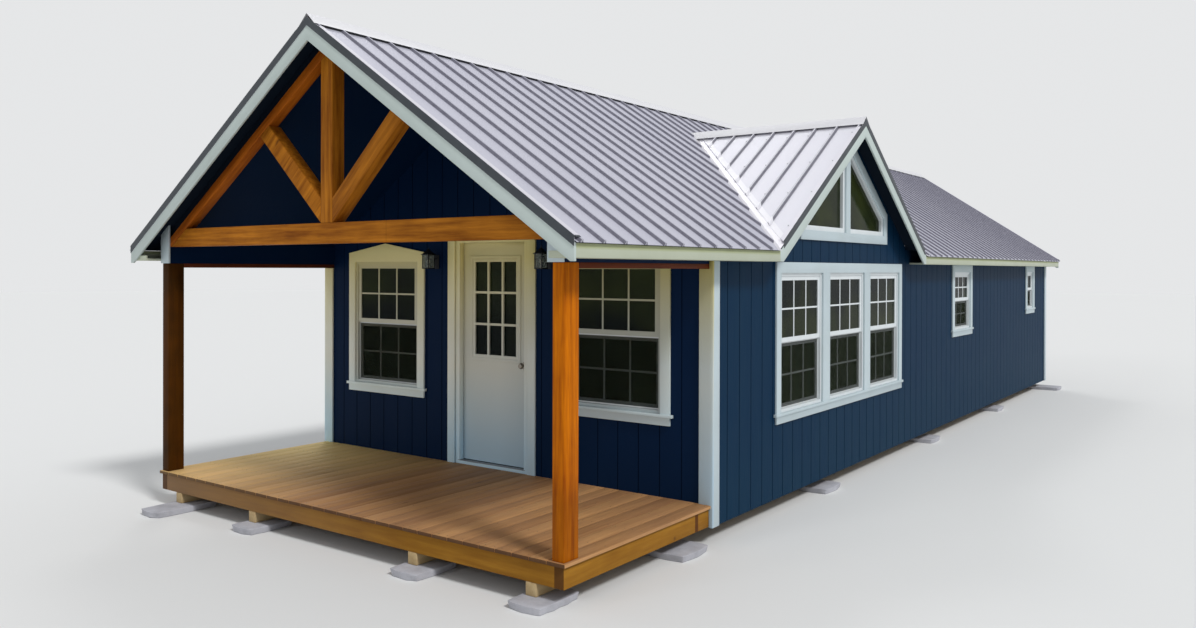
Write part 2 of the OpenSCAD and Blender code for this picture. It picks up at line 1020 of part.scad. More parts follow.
module rake_boards() {
    depth = rake_h * plumb;
    color(cream) {
        for (y = [gable_front_y, gable_back_y - fascia_t])
            upright_x(y, y + fascia_t)
                intersection() {
                    translate([0, ridge_z])
                        slope_band(eave_x, -under_roof, -under_roof - depth);
                    translate([-eave_x, fascia_z - rake_foot])
                        square([2 * eave_x, big]);
                }
        upright_y(eave_x - fascia_t, eave_x)
            intersection() {
                translate([dormer_y, dormer_ridge_z])
                    slope_band(dormer_half, -under_roof, -under_roof - depth);
                translate([dormer_y - dormer_half, fascia_z])
                    square([2 * dormer_half, big]);
            }
    }
}

// Dark trims: a face over the edge of the roof and a flange on the outer rib. The face reaches into
// the flange by half a thickness, but stays under the ridge cap
module trim_face(half) {
    difference() {
        slope_band(half, (rib_top_z + rake_trim_t / 2) * plumb, -under_roof - rake_trim_lap * plumb);
        intersection() {
            slope_band(half, big, rib_top_z * plumb);
            translate([-cap_w - rake_trim_t, -big])
                square([2 * (cap_w + rake_trim_t), 2 * big]);
        }
    }
}

module main_trim() {
    upright_x(gable_front_y - rake_trim_t, gable_front_y)
        translate([0, ridge_z])
            trim_face(eave_x);
    both_sides()
        on_right_slope()
            translate([0, 0, rib_top_z])
                linear_extrude(rake_trim_t)
                    slope_outline([[cap_w, gable_front_y - rake_trim_t / 2],
                                   [eave_x, gable_front_y - rake_trim_t / 2],
                                   [eave_x, gable_front_y + rake_trim_w],
                                   [cap_w, gable_front_y + rake_trim_w]]);
}

module dormer_trim_flange() {
    foot = dormer_half - valley_gap;
    on_dormer_front()
        translate([0, 0, rib_top_z])
            linear_extrude(rake_trim_t)
                slope_outline([[cap_w, eave_x - rake_trim_w], [foot - rake_trim_w, eave_x - rake_trim_w],
                               [foot + rake_trim_t / 2, eave_x + rake_trim_t / 2],
                               [cap_w, eave_x + rake_trim_t / 2]]);
}

module rake_trims() {
    color(dark_metal) {
        main_trim();
        translate([0, gable_front_y + gable_back_y, 0])
            mirror([0, 1, 0])
                main_trim();
        upright_y(eave_x, eave_x + rake_trim_t)
            translate([dormer_y, dormer_ridge_z])
                trim_face(dormer_half - valley_gap);
        dormer_trim_flange();
        mirror_dormer()
            dormer_trim_flange();
    }
}

// Trims of the corners, doors and windows

// The front corner boards stop under the porch plates. The last boards cover the beams' front ends
module corner_boards() {
    board_x = outer_x + casing_t;
    color(white)
        both_sides() {
            block([half_w - casing_w, front_face_y - casing_t, deck_z], [half_w, front_face_y, plate_z]);
            block([half_w, front_face_y - casing_t, siding_z], [board_x, front_face_y, fascia_z]);
            block([outer_x, front_face_y, siding_z], [board_x, front_face_y + casing_w, fascia_z]);
            block([half_w - casing_w, back_face_y, siding_z], [board_x, back_face_y + casing_t, fascia_z]);
            block([outer_x, back_face_y - casing_w, siding_z], [board_x, back_face_y, fascia_z]);
            upright_x(front_y - casing_t, front_y)
                intersection() {
                    translate([post_x - end_board_lap, beam_z])
                        square([post_w + end_board_lap, big]);
                    under_sheathing(0);
                }
        }
}

// Faces a window outwards on the front, back, left or right wall, with its head at z. In its own
// frame x runs across, y up and z outwards from the siding
module on_front(x, z) {
    translate([x, front_face_y, z])
        rotate([90, 0, 0])
            children();
}

module on_back(x, z) {
    translate([x, back_face_y, z])
        rotate([90, 0, 180])
            children();
}

module on_right(y, z) {
    translate([outer_x, y, z])
        rotate([90, 0, 90])
            children();
}

module on_left(y, z) {
    translate([-outer_x, y, z])
        rotate([90, 0, -90])
            children();
}

// Puts its child in each window, with the window's size in $w and $h
module each_window() {
    let ($w = window_w, $h = window_h) {
        for (side = [-1, 1])
            on_front(side * front_window_x, front_head_z)
                children();
        on_back(0, head_z)
            children();
    }
    for (w = right_windows)
        let ($w = w[1], $h = w[2])
            on_right(w[0], head_z)
                children();
    for (w = left_windows)
        let ($w = w[1], $h = w[2])
            on_left(w[0], head_z)
                children();
}

// A ring between two rectangles, both set in from a window's edge
module frame_ring(w, h, outer, inner) {
    difference() {
        translate([outer - w / 2, outer - h])
            square([w - 2 * outer, h - 2 * outer]);
        translate([inner - w / 2, inner - h])
            square([w - 2 * inner, h - 2 * inner]);
    }
}

// The glass of the lower or upper sash, set in from the window's edge and middle
module light_outline(w, h, upper) {
    inset = lip_w + sash_w;
    translate([inset - w / 2, upper ? sash_w - h / 2 : inset - h])
        square([w - 2 * inset, h / 2 - inset - sash_w]);
}

// One sash, let into the frame by 2 mm, from the given depth to a sash's thickness in front of it
module sash(w, h, upper, depth) {
    rebate = lip_w - 2;
    translate([0, 0, -depth])
        linear_extrude(sash_t)
            difference() {
                translate([rebate - w / 2, upper ? -h / 2 : rebate - h])
                    square([w - 2 * rebate, h / 2 - rebate]);
                light_outline(w, h, upper);
            }
}

upper_depth = sash_set + sash_t;
lower_depth = upper_depth + sash_t - 2;

module window_frame(w, h) {
    translate([0, 0, -frame_d])
        linear_extrude(frame_d)
            frame_ring(w, h, 0, lip_w);
    sash(w, h, true, upper_depth);
    sash(w, h, false, lower_depth);
}

module window_panes(w, h) {
    for (upper = [true, false])
        translate([0, 0, (sash_t - pane_t) / 2 - (upper ? upper_depth : lower_depth)])
            linear_extrude(pane_t)
                light_outline(w, h, upper);
}

// The pair of gable windows, made smaller by inset and parted by a board
module gable_lights(inset, between) {
    difference() {
        gable_window_outline(inset);
        translate([dormer_y - between / 2, 0])
            square([between, big]);
    }
}

gable_frame_w = lip_w + sash_w / 2;

module window_frames() {
    color(white) {
        each_window()
            window_frame($w, $h);
        upright_y(outer_x - frame_d, outer_x)
            difference() {
                gable_lights(casing_w, gable_mullion);
                gable_lights(casing_w + gable_frame_w, gable_mullion + 2 * gable_frame_w);
            }
    }
}

module window_glass() {
    pane_x = outer_x - frame_d / 2;
    color(glazing) {
        each_window()
            window_panes($w, $h);
        upright_y(pane_x, pane_x + pane_t)
            gable_lights(casing_w + gable_frame_w, gable_mullion + 2 * gable_frame_w);
    }
}

// Boards round an opening w by h: sides, head, sill and an apron below it
module casing(w, h, head_h) {
    linear_extrude(casing_t)
        difference() {
            translate([-w / 2 - casing_w, -h - casing_w])
                square([w + 2 * casing_w, h + casing_w + head_h]);
            translate([-w / 2, -h])
                square([w, h]);
        }
    translate([-w / 2 - casing_w - sill_t, -h - sill_t, 0])
        cube([w + 2 * casing_w + 2 * sill_t, sill_t, sill_out]);
}

module pointed_head(w) {
    linear_extrude(casing_t)
        polygon([[-w / 2, 0], [w / 2, 0], [0, head_rise]]);
}

module window_casings() {
    color(white) {
        for (side = [-1, 1])
            on_front(side * front_window_x, front_head_z) {
                casing(window_w, window_h, casing_w);
                translate([0, casing_w, 0])
                    pointed_head(window_w + 2 * casing_w + 2 * head_lap);
            }
        on_right(dormer_y, head_z) {
            casing(2 * triple_pitch + window_w, window_h, side_head_drop);
            for (side = [-1, 1])
                translate([side * triple_pitch / 2 - mullion_w / 2, -window_h, 0])
                    cube([mullion_w, window_h, casing_t]);
        }
        for (w = single_windows)
            on_right(w[0], head_z)
                casing(w[1], w[2], side_head_drop);
        for (w = left_windows)
            on_left(w[0], head_z)
                casing(w[1], w[2], side_head_drop);
        on_back(0, head_z)
            casing(window_w, window_h, casing_w);
        upright_y(outer_x, outer_x + casing_t)
            difference() {
                gable_window_outline(0);
                gable_lights(casing_w, gable_mullion);
            }
    }
}

// Door: the frame lines the doorway, with a stop on the outside of the slab

module door_frame() {
    past = 1;
    color(white)
        difference() {
            block([door_x - doorway_half, front_face_y, floor_z],
                  [door_x + doorway_half, house_y + stud_t, doorway_top]);
            block([hinge_x, slab_y - door_gap, deck_z + sill_h],
                  [latch_x, house_y + stud_t + past, door_top]);
            block([hinge_x + door_gap + stop_t, front_face_y - past, deck_z + sill_h],
                  [latch_x - door_gap - stop_t, slab_y, door_top - door_gap - stop_t]);
        }
}

module door_casing() {
    outer = doorway_half + casing_w;
    color(white)
        difference() {
            block([door_x - outer, front_face_y - casing_t, deck_z],
                  [door_x + outer, front_face_y, doorway_top + casing_w]);
            block([door_x - doorway_half, -big, 0], [door_x + doorway_half, big, doorway_top]);
        }
}

// The slab with a raised rim round its glass on both faces
module door_slab() {
    lite = [door_x - lite_w / 2, slab_z + lite_z];
    color(white)
        difference() {
            union() {
                block([door_x - door_w / 2, slab_y, slab_z],
                      [door_x + door_w / 2, slab_y + door_t, slab_z + door_h]);
                block([lite[0] - lite_rim_w, slab_y - lite_rim_t, lite[1] - lite_rim_w],
                      [lite[0] + lite_w + lite_rim_w, slab_y + door_t + lite_rim_t,
                       lite[1] + lite_h + lite_rim_w]);
            }
            block([lite[0], -big, lite[1]], [lite[0] + lite_w, big, lite[1] + lite_h]);
        }
}

module door_glass() {
    mid = slab_y + door_t / 2;
    color(glazing)
        block([door_x - lite_w / 2, mid - pane_t, slab_z + lite_z],
              [door_x + lite_w / 2, mid + pane_t, slab_z + lite_z + lite_h]);
}

// A rose, a neck and a round knob with a flat face
module knob_half() {
    neck = knob_r + neck_l;
    cylinder(h = rose_t, r = rose_r, $fn = 48);
    cylinder(h = neck, r = neck_r, $fn = 48);
    intersection() {
        translate([0, 0, neck])
            sphere(r = knob_r, $fn = 48);
        cylinder(h = neck + neck_l, r = knob_r, $fn = 48);
    }
}

module door_knob() {
    x = door_x + door_w / 2 - knob_in;
    color("silver") {
        translate([x, slab_y, slab_z + knob_z])
            rotate([90, 0, 0])
                knob_half();
        translate([x, slab_y + door_t, slab_z + knob_z])
            rotate([-90, 0, 0])
                knob_half();
    }
}

// Feet of the three hinges. A hinge has three knuckles, the middle one on the door
hinge_feet = [slab_z + 2 * hinge_h, slab_z + (door_h - hinge_h) / 2, slab_z + door_h - 2.5 * hinge_h];
knuckle_h = hinge_h / 3;
knuckle_gap = 0.5;
leaf_y = slab_y + 10;

module knuckle(z) {
    translate([pin_x, pin_y, z])
        cylinder(h = knuckle_h, r = knuckle_r, $fn = 32);
}

// A leaf in the gap between the frame and the slab, joined to its knuckles
module hinge_leaf(x, foot, knuckle_feet) {
    block([x, leaf_y, foot], [x + leaf_t, slab_y + door_t, foot + hinge_h]);
    for (z = knuckle_feet) {
        knuckle(z);
        block([x, slab_y + door_t - 1, z], [x + leaf_t, pin_y, z + knuckle_h]);
    }
}

module frame_hinges() {
    color("silver")
        for (foot = hinge_feet)
            hinge_leaf(hinge_x, foot, [foot - knuckle_gap, foot + 2 * knuckle_h + knuckle_gap]);
}

module door_hinges() {
    color("silver")
        for (foot = hinge_feet)
            hinge_leaf(hinge_x + door_gap - leaf_t, foot, [foot + knuckle_h]);
}

// Lanterns hang midway between the door's and the windows' casings

casing_right = door_x + doorway_half + casing_w;
casing_left = door_x - doorway_half - casing_w;
window_casing_x = front_window_x - window_w / 2 - casing_w;
lantern_x = [(casing_left - window_casing_x) / 2, (casing_right + window_casing_x) / 2];

// A square cage of four bars between a floor and a pointed roof, on an arm from a wall plate
module lantern() {
    half = lantern_s / 2;
    floor_t = lantern_bar;
    mid = -lantern_out;
    plate_half = half - lantern_bar;
    arm_z = lantern_h * 0.7;
    block([-plate_half, -lantern_bar, 0], [plate_half, 0, lantern_h]);
    block([-half, mid - half, 0], [half, mid + half, floor_t]);
    for (x = [-half, half - lantern_bar])
        for (y = [mid - half, mid + half - lantern_bar])
            translate([x, y, 0])
                cube([lantern_bar, lantern_bar, lantern_h]);
    translate([-half, mid + half - lantern_bar, arm_z])
        cube([lantern_s, lantern_bar, lantern_bar]);
    block([-lantern_bar, mid + half - lantern_bar, arm_z], [lantern_bar, 0, arm_z + lantern_bar]);
    translate([-half - lantern_bar, mid - half - lantern_bar, lantern_h])
        cube([lantern_s + 2 * lantern_bar, lantern_s + 2 * lantern_bar, lantern_bar]);
    translate([0, mid, lantern_h + lantern_bar])
        rotate(45)
            cylinder(h = lantern_roof, r1 = half * sqrt(2), r2 = lantern_bar, $fn = 4);
    translate([0, mid, lantern_h + lantern_roof])
        cylinder(h = 3 * lantern_bar, r = lantern_bar * 0.6, $fn = 24);
}

module lanterns() {
    color(dark_metal)
        for (x = lantern_x)
            translate([x, front_face_y, deck_z + lantern_z])
                lantern();
}

foundation_pads();
skids();
floor_rims();
floor_joists();
porch_rim();
porch_deck();
house_floor();
porch_posts();
porch_beams();
porch_plates();
porch_ceiling();
truss_bottom_chord();
truss_top_chord_left();
truss_top_chord_right();
truss_king_post();
truss_webs();
front_wall_left();
front_wall_right();
front_gable_wall();
left_wall();
right_wall();
back_wall();
dormer_gable_wall();
rafters();
ridge_boards();
roof_sheathing();
dormer_frames();
roof_sheets();
ridge_caps();
valley_flashing();
eave_fascias();
rake_boards();
rake_trims();
corner_boards();
window_casings();
window_frames();
window_glass();
door_frame();
door_casing();
door_slab();
door_glass();
door_knob();
frame_hinges();
door_hinges();
lanterns();
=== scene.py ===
"""Dresses the cabin: finishes for its frame, walls and roof, and the fine pieces that it carries."""

from __future__ import annotations

import logging
import math
from collections.abc import Callable, Iterator, Mapping, Sequence
from contextlib import contextmanager
from dataclasses import dataclass, field, replace
from enum import Enum
from typing import Any, Union

import bpy
from mathutils import Matrix, Vector

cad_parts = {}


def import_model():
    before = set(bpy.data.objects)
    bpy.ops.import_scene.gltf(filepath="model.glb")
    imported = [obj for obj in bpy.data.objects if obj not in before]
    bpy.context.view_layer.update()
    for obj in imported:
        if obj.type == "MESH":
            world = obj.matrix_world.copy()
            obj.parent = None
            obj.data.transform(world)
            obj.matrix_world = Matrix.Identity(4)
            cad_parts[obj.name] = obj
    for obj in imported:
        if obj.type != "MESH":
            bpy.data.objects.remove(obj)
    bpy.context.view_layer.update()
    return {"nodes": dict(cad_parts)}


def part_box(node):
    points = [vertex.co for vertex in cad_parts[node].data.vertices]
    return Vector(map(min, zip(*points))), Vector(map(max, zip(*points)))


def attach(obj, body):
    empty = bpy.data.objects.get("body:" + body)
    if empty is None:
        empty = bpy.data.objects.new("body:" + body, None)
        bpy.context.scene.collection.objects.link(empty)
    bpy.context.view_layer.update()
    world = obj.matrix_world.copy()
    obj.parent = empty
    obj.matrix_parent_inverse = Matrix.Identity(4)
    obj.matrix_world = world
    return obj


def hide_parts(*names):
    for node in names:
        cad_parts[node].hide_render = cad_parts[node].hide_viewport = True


log = logging.getLogger("cabin")

Point = tuple[float, float, float]
Span = tuple[float, float]
Colour = tuple[float, float, float, float]
Socket = bpy.types.NodeSocket
Material = bpy.types.Material
Piece = bpy.types.Object


@dataclass(frozen=True)
class Plan:
    """Sizes of the CAD model that several classes read, in metres in the cabin's own frame.

    Front, back and side are the faces of the siding, and a panel is the space between two grooves.
    On the cross gable, the last rib stands that far in from the eave, and the valleys meet at one x.
    """

    front: float = -5.1235
    back: float = 7.1005
    side: float = 2.302
    panel: float = 0.2032
    slope: float = 2 / 3
    first_rib: float = -7.0765
    ribs: int = 63
    rib_pitch: float = 14.301 / 62
    eave: float = 2.498
    cross_y: float = -2.3965
    cross_drop: float = 0.375
    cross_pitch: float = 0.229
    last_rib: float = 0.038
    valley_x: float = 0.5625


PLAN = Plan()

# Points closer than MERGE metres become one point, and faces within FLAT degrees one face. Edges
# sharper than SHARP degrees are rounded, and faces within SMOOTH degrees are shaded as one.
MERGE = 0.00005
FLAT = 0.6
SHARP = 40
SMOOTH = 35


def tone(red: int, green: int, blue: int) -> Colour:
    """Turns a screen colour into the linear colour that a shader takes.

    Args:
        red: Red from 0 to 255.
        green: Green from 0 to 255.
        blue: Blue from 0 to 255.

    Returns:
        The linear colour with full alpha.
    """
    parts = []
    for byte in (red, green, blue):
        share = byte / 255
        parts.append(share / 12.92 if share <= 0.04045 else ((share + 0.055) / 1.055) ** 2.4)
    return (parts[0], parts[1], parts[2], 1.0)


def step(operation: str, reflected: bool = False) -> Callable[..., Value]:
    """Makes the method of a value that does one operation.

    Args:
        operation: The Math node's operation.
        reflected: Whether the other number comes first.

    Returns:
        The method.
    """
    def method(self: Value, other: Number = 0.0) -> Value:
        """Adds the operation's node."""
        return self.nodes.maths(operation, *((other, self) if reflected else (self, other)))
    return method


class Value:
    """A number inside a material, used like a Python number in expressions.

    A comparison gives 1 where it holds and 0 elsewhere, turns() keeps what follows the decimal
    point, and whole() rounds down.
    """

    __add__, __radd__ = step("ADD"), step("ADD", reflected=True)
    __sub__, __rsub__ = step("SUBTRACT"), step("SUBTRACT", reflected=True)
    __mul__, __rmul__ = step("MULTIPLY"), step("MULTIPLY", reflected=True)
    __truediv__, __rtruediv__ = step("DIVIDE"), step("DIVIDE", reflected=True)
    __gt__, __lt__ = step("GREATER_THAN"), step("LESS_THAN")
    __abs__, turns, whole = step("ABSOLUTE"), step("FRACT"), step("FLOOR")

    def __init__(self, nodes: Nodes, socket: Socket) -> None:
        """Keeps the tree that the socket belongs to."""
        self.nodes = nodes
        self.socket = socket

    def held(self) -> Value:
        """Holds the value between 0 and 1."""
        return self.nodes.maths("MAXIMUM", self.nodes.maths("MINIMUM", self, 1.0), 0.0)

    def ramp(self, start: float, steepness: float) -> Value:
        """Climbs from 0 to 1 past some start, or before it where the steepness is negative."""
        return ((self - start) * steepness).held()


Number = Union[float, Value, Socket]


class Nodes:
    """A node tree of a material or of the world."""

    def __init__(self, owner: Material | bpy.types.World) -> None:
        """Empties a tree.

        Args:
            owner: The material or world that has it.
        """
        owner.use_nodes = True
        self.tree = owner.node_tree
        self.tree.nodes.clear()

    def node(self, kind: str, settings: Mapping[str, Any], inputs: Mapping[Any, Any]) -> bpy.types.Node:
        """Adds one node.

        Args:
            kind: The node's type name.
            settings: Properties that are set before the sockets.
            inputs: Values or links by socket name or number.

        Returns:
            The new node.
        """
        made = self.tree.nodes.new(kind)
        for key, setting in settings.items():
            setattr(made, key, setting)
        for key, given in inputs.items():
            self.feed(made.inputs[key], given)
        return made

    def feed(self, socket: Socket, given: Any) -> None:
        """Links a value or socket, or writes a plain number or colour.

        Args:
            socket: The input.
            given: What it gets.
        """
        given = given.socket if isinstance(given, Value) else given
        if isinstance(given, Socket):
            self.tree.links.new(given, socket)
        else:
            socket.default_value = given

    def maths(self, operation: str, first: Number, second: Number = 0.0) -> Value:
        """Works out one step of arithmetic."""
        made = self.node("ShaderNodeMath", {"operation": operation}, {0: first, 1: second})
        return Value(self, made.outputs[0])


class Grain(Enum):
    """The way that the fibres of a board run."""

    ACROSS = (1.0, 0.0, 0.0)
    LENGTH = (0.0, 1.0, 0.0)
    UPRIGHT = (0.0, 0.0, 1.0)
    RISING = (0.83205, 0.0, 0.5547)
    FALLING = (0.83205, 0.0, -0.5547)
    STEEP_RIGHT = (0.7314, 0.0, 0.682)


class Sheet(Nodes):
    """The node tree of one material, with a principled shader at its end."""

    def __init__(self, name: str) -> None:
        """Starts a material of this name."""
        self.material = bpy.data.materials.new(name)
        super().__init__(self.material)
        self.shader = self.node("ShaderNodeBsdfPrincipled", {}, {})
        self.node("ShaderNodeOutputMaterial", {}, {"Surface": self.shader.outputs[0]})

    def place(self) -> Socket:
        """Gives the point on the piece, in metres in the cabin's own frame."""
        return self.node("ShaderNodeTexCoord", {}, {}).outputs["Object"]

    def axes(self) -> tuple[Value, Value, Value]:
        """Gives the three coordinates of the point on the piece."""
        x, y, z = self.node("ShaderNodeSeparateXYZ", {}, {0: self.place()}).outputs
        return (Value(self, x), Value(self, y), Value(self, z))

    def vector(self, operation: str, inputs: Mapping[Any, Any]) -> bpy.types.Node:
        """Adds one step of vector arithmetic."""
        return self.node("ShaderNodeVectorMath", {"operation": operation}, inputs)

    def along(self, grain: Grain, stretch: float, shift: Number = 0.0) -> Socket:
        """Squeezes the coordinates along the grain, so that a pattern is drawn out along it.

        Args:
            grain: The direction of the grain.
            stretch: How many times longer than wide the pattern is.
            shift: A move along the grain that parts one board's pattern from the next.

        Returns:
            The squeezed coordinates.
        """
        point = self.place()
        dot = self.vector("DOT_PRODUCT", {0: point, 1: grain.value})
        run = Value(self, dot.outputs["Value"]) * (1 / stretch - 1) + shift
        moved = self.vector("SCALE", {0: grain.value, "Scale": run})
        return self.vector("ADD", {0: point, 1: moved.outputs[0]}).outputs[0]

    def noise(self, scale: float, detail: float = 3.0, rough: float = 0.55,
              point: Socket | None = None) -> Value:
        """Gives cloudy noise from 0 to 1, with scale in clouds to the metre."""
        made = self.node("ShaderNodeTexNoise", {}, {
            "Vector": point or self.place(), "Scale": scale, "Detail": detail, "Roughness": rough})
        return Value(self, made.outputs[0])

    def spots(self, scale: float, point: Socket | None = None) -> Value:
        """Gives the distance to the nearest of many scattered points."""
        made = self.node("ShaderNodeTexVoronoi", {}, {"Vector": point or self.place(), "Scale": scale})
        return Value(self, made.outputs[0])

    def blend(self, factor: Number, first: Any, second: Any) -> Socket:
        """Mixes two colours."""
        return self.node("ShaderNodeMix", {"data_type": "RGBA"}, {0: factor, 6: first, 7: second}).outputs[2]

    def relief(self, height: Value, depth: float, distance: float) -> None:
        """Bumps the surface.

        Args:
            height: The height map.
            depth: The strength of the bump from 0 to 1.
            distance: The height that 1 stands for, in metres.
        """
        made = self.node("ShaderNodeBump", {}, {"Strength": depth, "Distance": distance, "Height": height})
        self.feed(self.shader.inputs["Normal"], made.outputs[0])

    def look(self, **inputs: Any) -> None:
        """Sets sockets of the shader, with an underscore for each space in a name."""
        for key, given in inputs.items():
            self.feed(self.shader.inputs[key.replace("_", " ")], given)


@dataclass(frozen=True)
class Finish:
    """A finish of some surface. Each kind lays its own nodes."""

    def lay(self, sheet: Sheet) -> None:
        """Lays the finish's nodes on a new sheet."""
        raise NotImplementedError

    def material(self, name: str) -> Material:
        """Builds the material.

        Args:
            name: The material's name.

        Returns:
            The finished material.
        """
        sheet = Sheet(name)
        self.lay(sheet)
        return sheet.material


@dataclass(frozen=True)
class PorchPaintedLight:
    """Painted light on pale paint under the porch roof: painted cool light low down, clean in the
    middle, and painted olive bounce light on top.

    Each tone is given for the right side of the porch and for the left side, where more light is
    painted so that it is paler. The ramps to the left side, to the middle and to the top are given by
    their start and steepness. Past the corner's x the porch ends a little sooner.
    """

    low: tuple[Colour, Colour] = (tone(178, 203, 218), tone(206, 238, 255))
    middle: tuple[Colour, Colour] = (tone(196, 204, 200), tone(238, 238, 222))
    high: tuple[Colour, Colour] = (tone(184, 168, 72), tone(238, 224, 152))
    back: float = -5.05
    front: float = -5.4
    corner: Span = (2.2, 0.076)
    left: Span = (0.9, -1.2)
    rise: Span = (0.5, 1.4)
    top: Span = (1.35, 1.15)
    share: float = 0.92

    def on(self, sheet: Sheet, colour: Any, dim: float) -> Socket:
        """Paints the porch light into a colour where it is on the porch.

        Args:
            sheet: The material's sheet.
            colour: The paint elsewhere.
            dim: How much darker than the trim the piece is there, from 0 to 1.

        Returns:
            The tinted colour.
        """
        x, y, z = sheet.axes()
        porch = (y + (abs(x) > self.corner[0]) * self.corner[1] < self.back) * (y > self.front)
        left = x.ramp(*self.left)
        low, middle, high = (sheet.blend(left, *pair) for pair in (self.low, self.middle, self.high))
        # Painted light: cooler low down, olive bounce light on top, paler on the left.
        tint = sheet.blend(z.ramp(*self.rise), low, middle)
        tint = sheet.blend(z.ramp(*self.top), tint, high)
        tint = sheet.blend(dim, tint, tone(0, 0, 0))
        return sheet.blend(porch * self.share, colour, tint)


@dataclass(frozen=True)
class Siding(Finish):
    """Painted panel siding with upright grooves, and a plain lining on the room side."""

    across: int | None
    groove: float = 0.006
    paint: Colour = tone(6, 41, 68)
    dusty: Colour = tone(18, 51, 72)
    porch_painted_shade: Colour = tone(3, 24, 56)
    shadow: Colour = tone(6, 14, 26)
    lining: Colour = tone(150, 146, 138)
    worn_lining: Colour = tone(128, 124, 116)
    room: Point = (2.25, -5.07, 7.04)
    porch: Span = (2.29, -5.0)

    def lay(self, sheet: Sheet) -> None:
        """Lays the paint, darker with painted shade on the porch, darker with painted shadow in the
        grooves and dusty low down, and the lining.

        Args:
            sheet: The material's sheet.
        """
        axes = sheet.axes()
        x, y, z = axes
        groove: Number = 0.0
        if self.across is not None:
            cell = (axes[self.across] * (1 / PLAN.panel) + 0.5).turns()
            groove = (1.4 - abs(cell - 0.5) * (PLAN.panel / self.groove)).held()
        grain = sheet.noise(55, 5, 0.6, sheet.along(Grain.UPRIGHT, 14))
        cloud = sheet.noise(1.1, 3, 0.5)
        streak = sheet.noise(7, 3, 0.6, sheet.along(Grain.UPRIGHT, 9))
        low = z.ramp(1.15 / 1.2, -1.2)
        worn = (cloud * 0.7 + streak * 0.5 + low * 0.35 - 0.45).held()
        inside = (abs(x) < self.room[0]) * (y > self.room[1]) * (y < self.room[2])
        # Painted shade: the paint under the porch roof is darker, and painted shadow darkens the grooves.
        porch = (y < self.porch[1]) * (abs(x) < self.porch[0])
        paint = sheet.blend(worn, self.paint, self.dusty)
        paint = sheet.blend(porch * 0.8, paint, self.porch_painted_shade)
        paint = sheet.blend(groove * 0.35, paint, self.shadow)
        lining = sheet.blend(cloud, self.lining, self.worn_lining)
        sheet.look(Base_Color=sheet.blend(inside, paint, lining),
                   Roughness=0.46 + grain * 0.2 + inside * 0.25, Specular_IOR_Level=0.06)
        sheet.relief(grain * (1 - inside), 0.4, 0.001)


@dataclass(frozen=True)
class PaintedBoard(Finish):
    """Painted trim boards with a trace of the grain and a little dirt, and an olive band above some
    height.

    Dim darkens the painted light that the paint gets under the porch roof, and None leaves that
    painted light out.
    """

    paint: Colour = tone(188, 202, 207)
    dirt: Colour = tone(162, 170, 166)
    grain: Grain = Grain.UPRIGHT
    rough: float = 0.42
    soil: float = 0.35
    moss_z: float | None = None
    olive_band: Colour = tone(150, 158, 92)
    dim: float | None = 0.0

    def lay(self, sheet: Sheet) -> None:
        """Lays the paint with its dirt, painted porch light and olive band.

        Args:
            sheet: The material's sheet.
        """
        fibres = sheet.noise(70, 4, 0.6, sheet.along(self.grain, 20))
        cloud = sheet.noise(2.6, 4, 0.6)
        colour = sheet.blend((cloud * 1.6 - 0.62).held() * self.soil, self.paint, self.dirt)
        # Painted light: under the porch roof the paint takes the painted porch light.
        if self.dim is not None:
            colour = PorchPaintedLight().on(sheet, colour, self.dim)
        # An olive band along the top of the board, above the given height.
        if self.moss_z is not None:
            high = sheet.axes()[2].ramp(self.moss_z, 60)
            colour = sheet.blend(high * (0.45 + cloud * 0.25), colour, self.olive_band)
        sheet.look(Base_Color=colour, Roughness=self.rough + fibres * 0.14, Specular_IOR_Level=0.3)
        sheet.relief(fibres, 0.35, 0.0012)


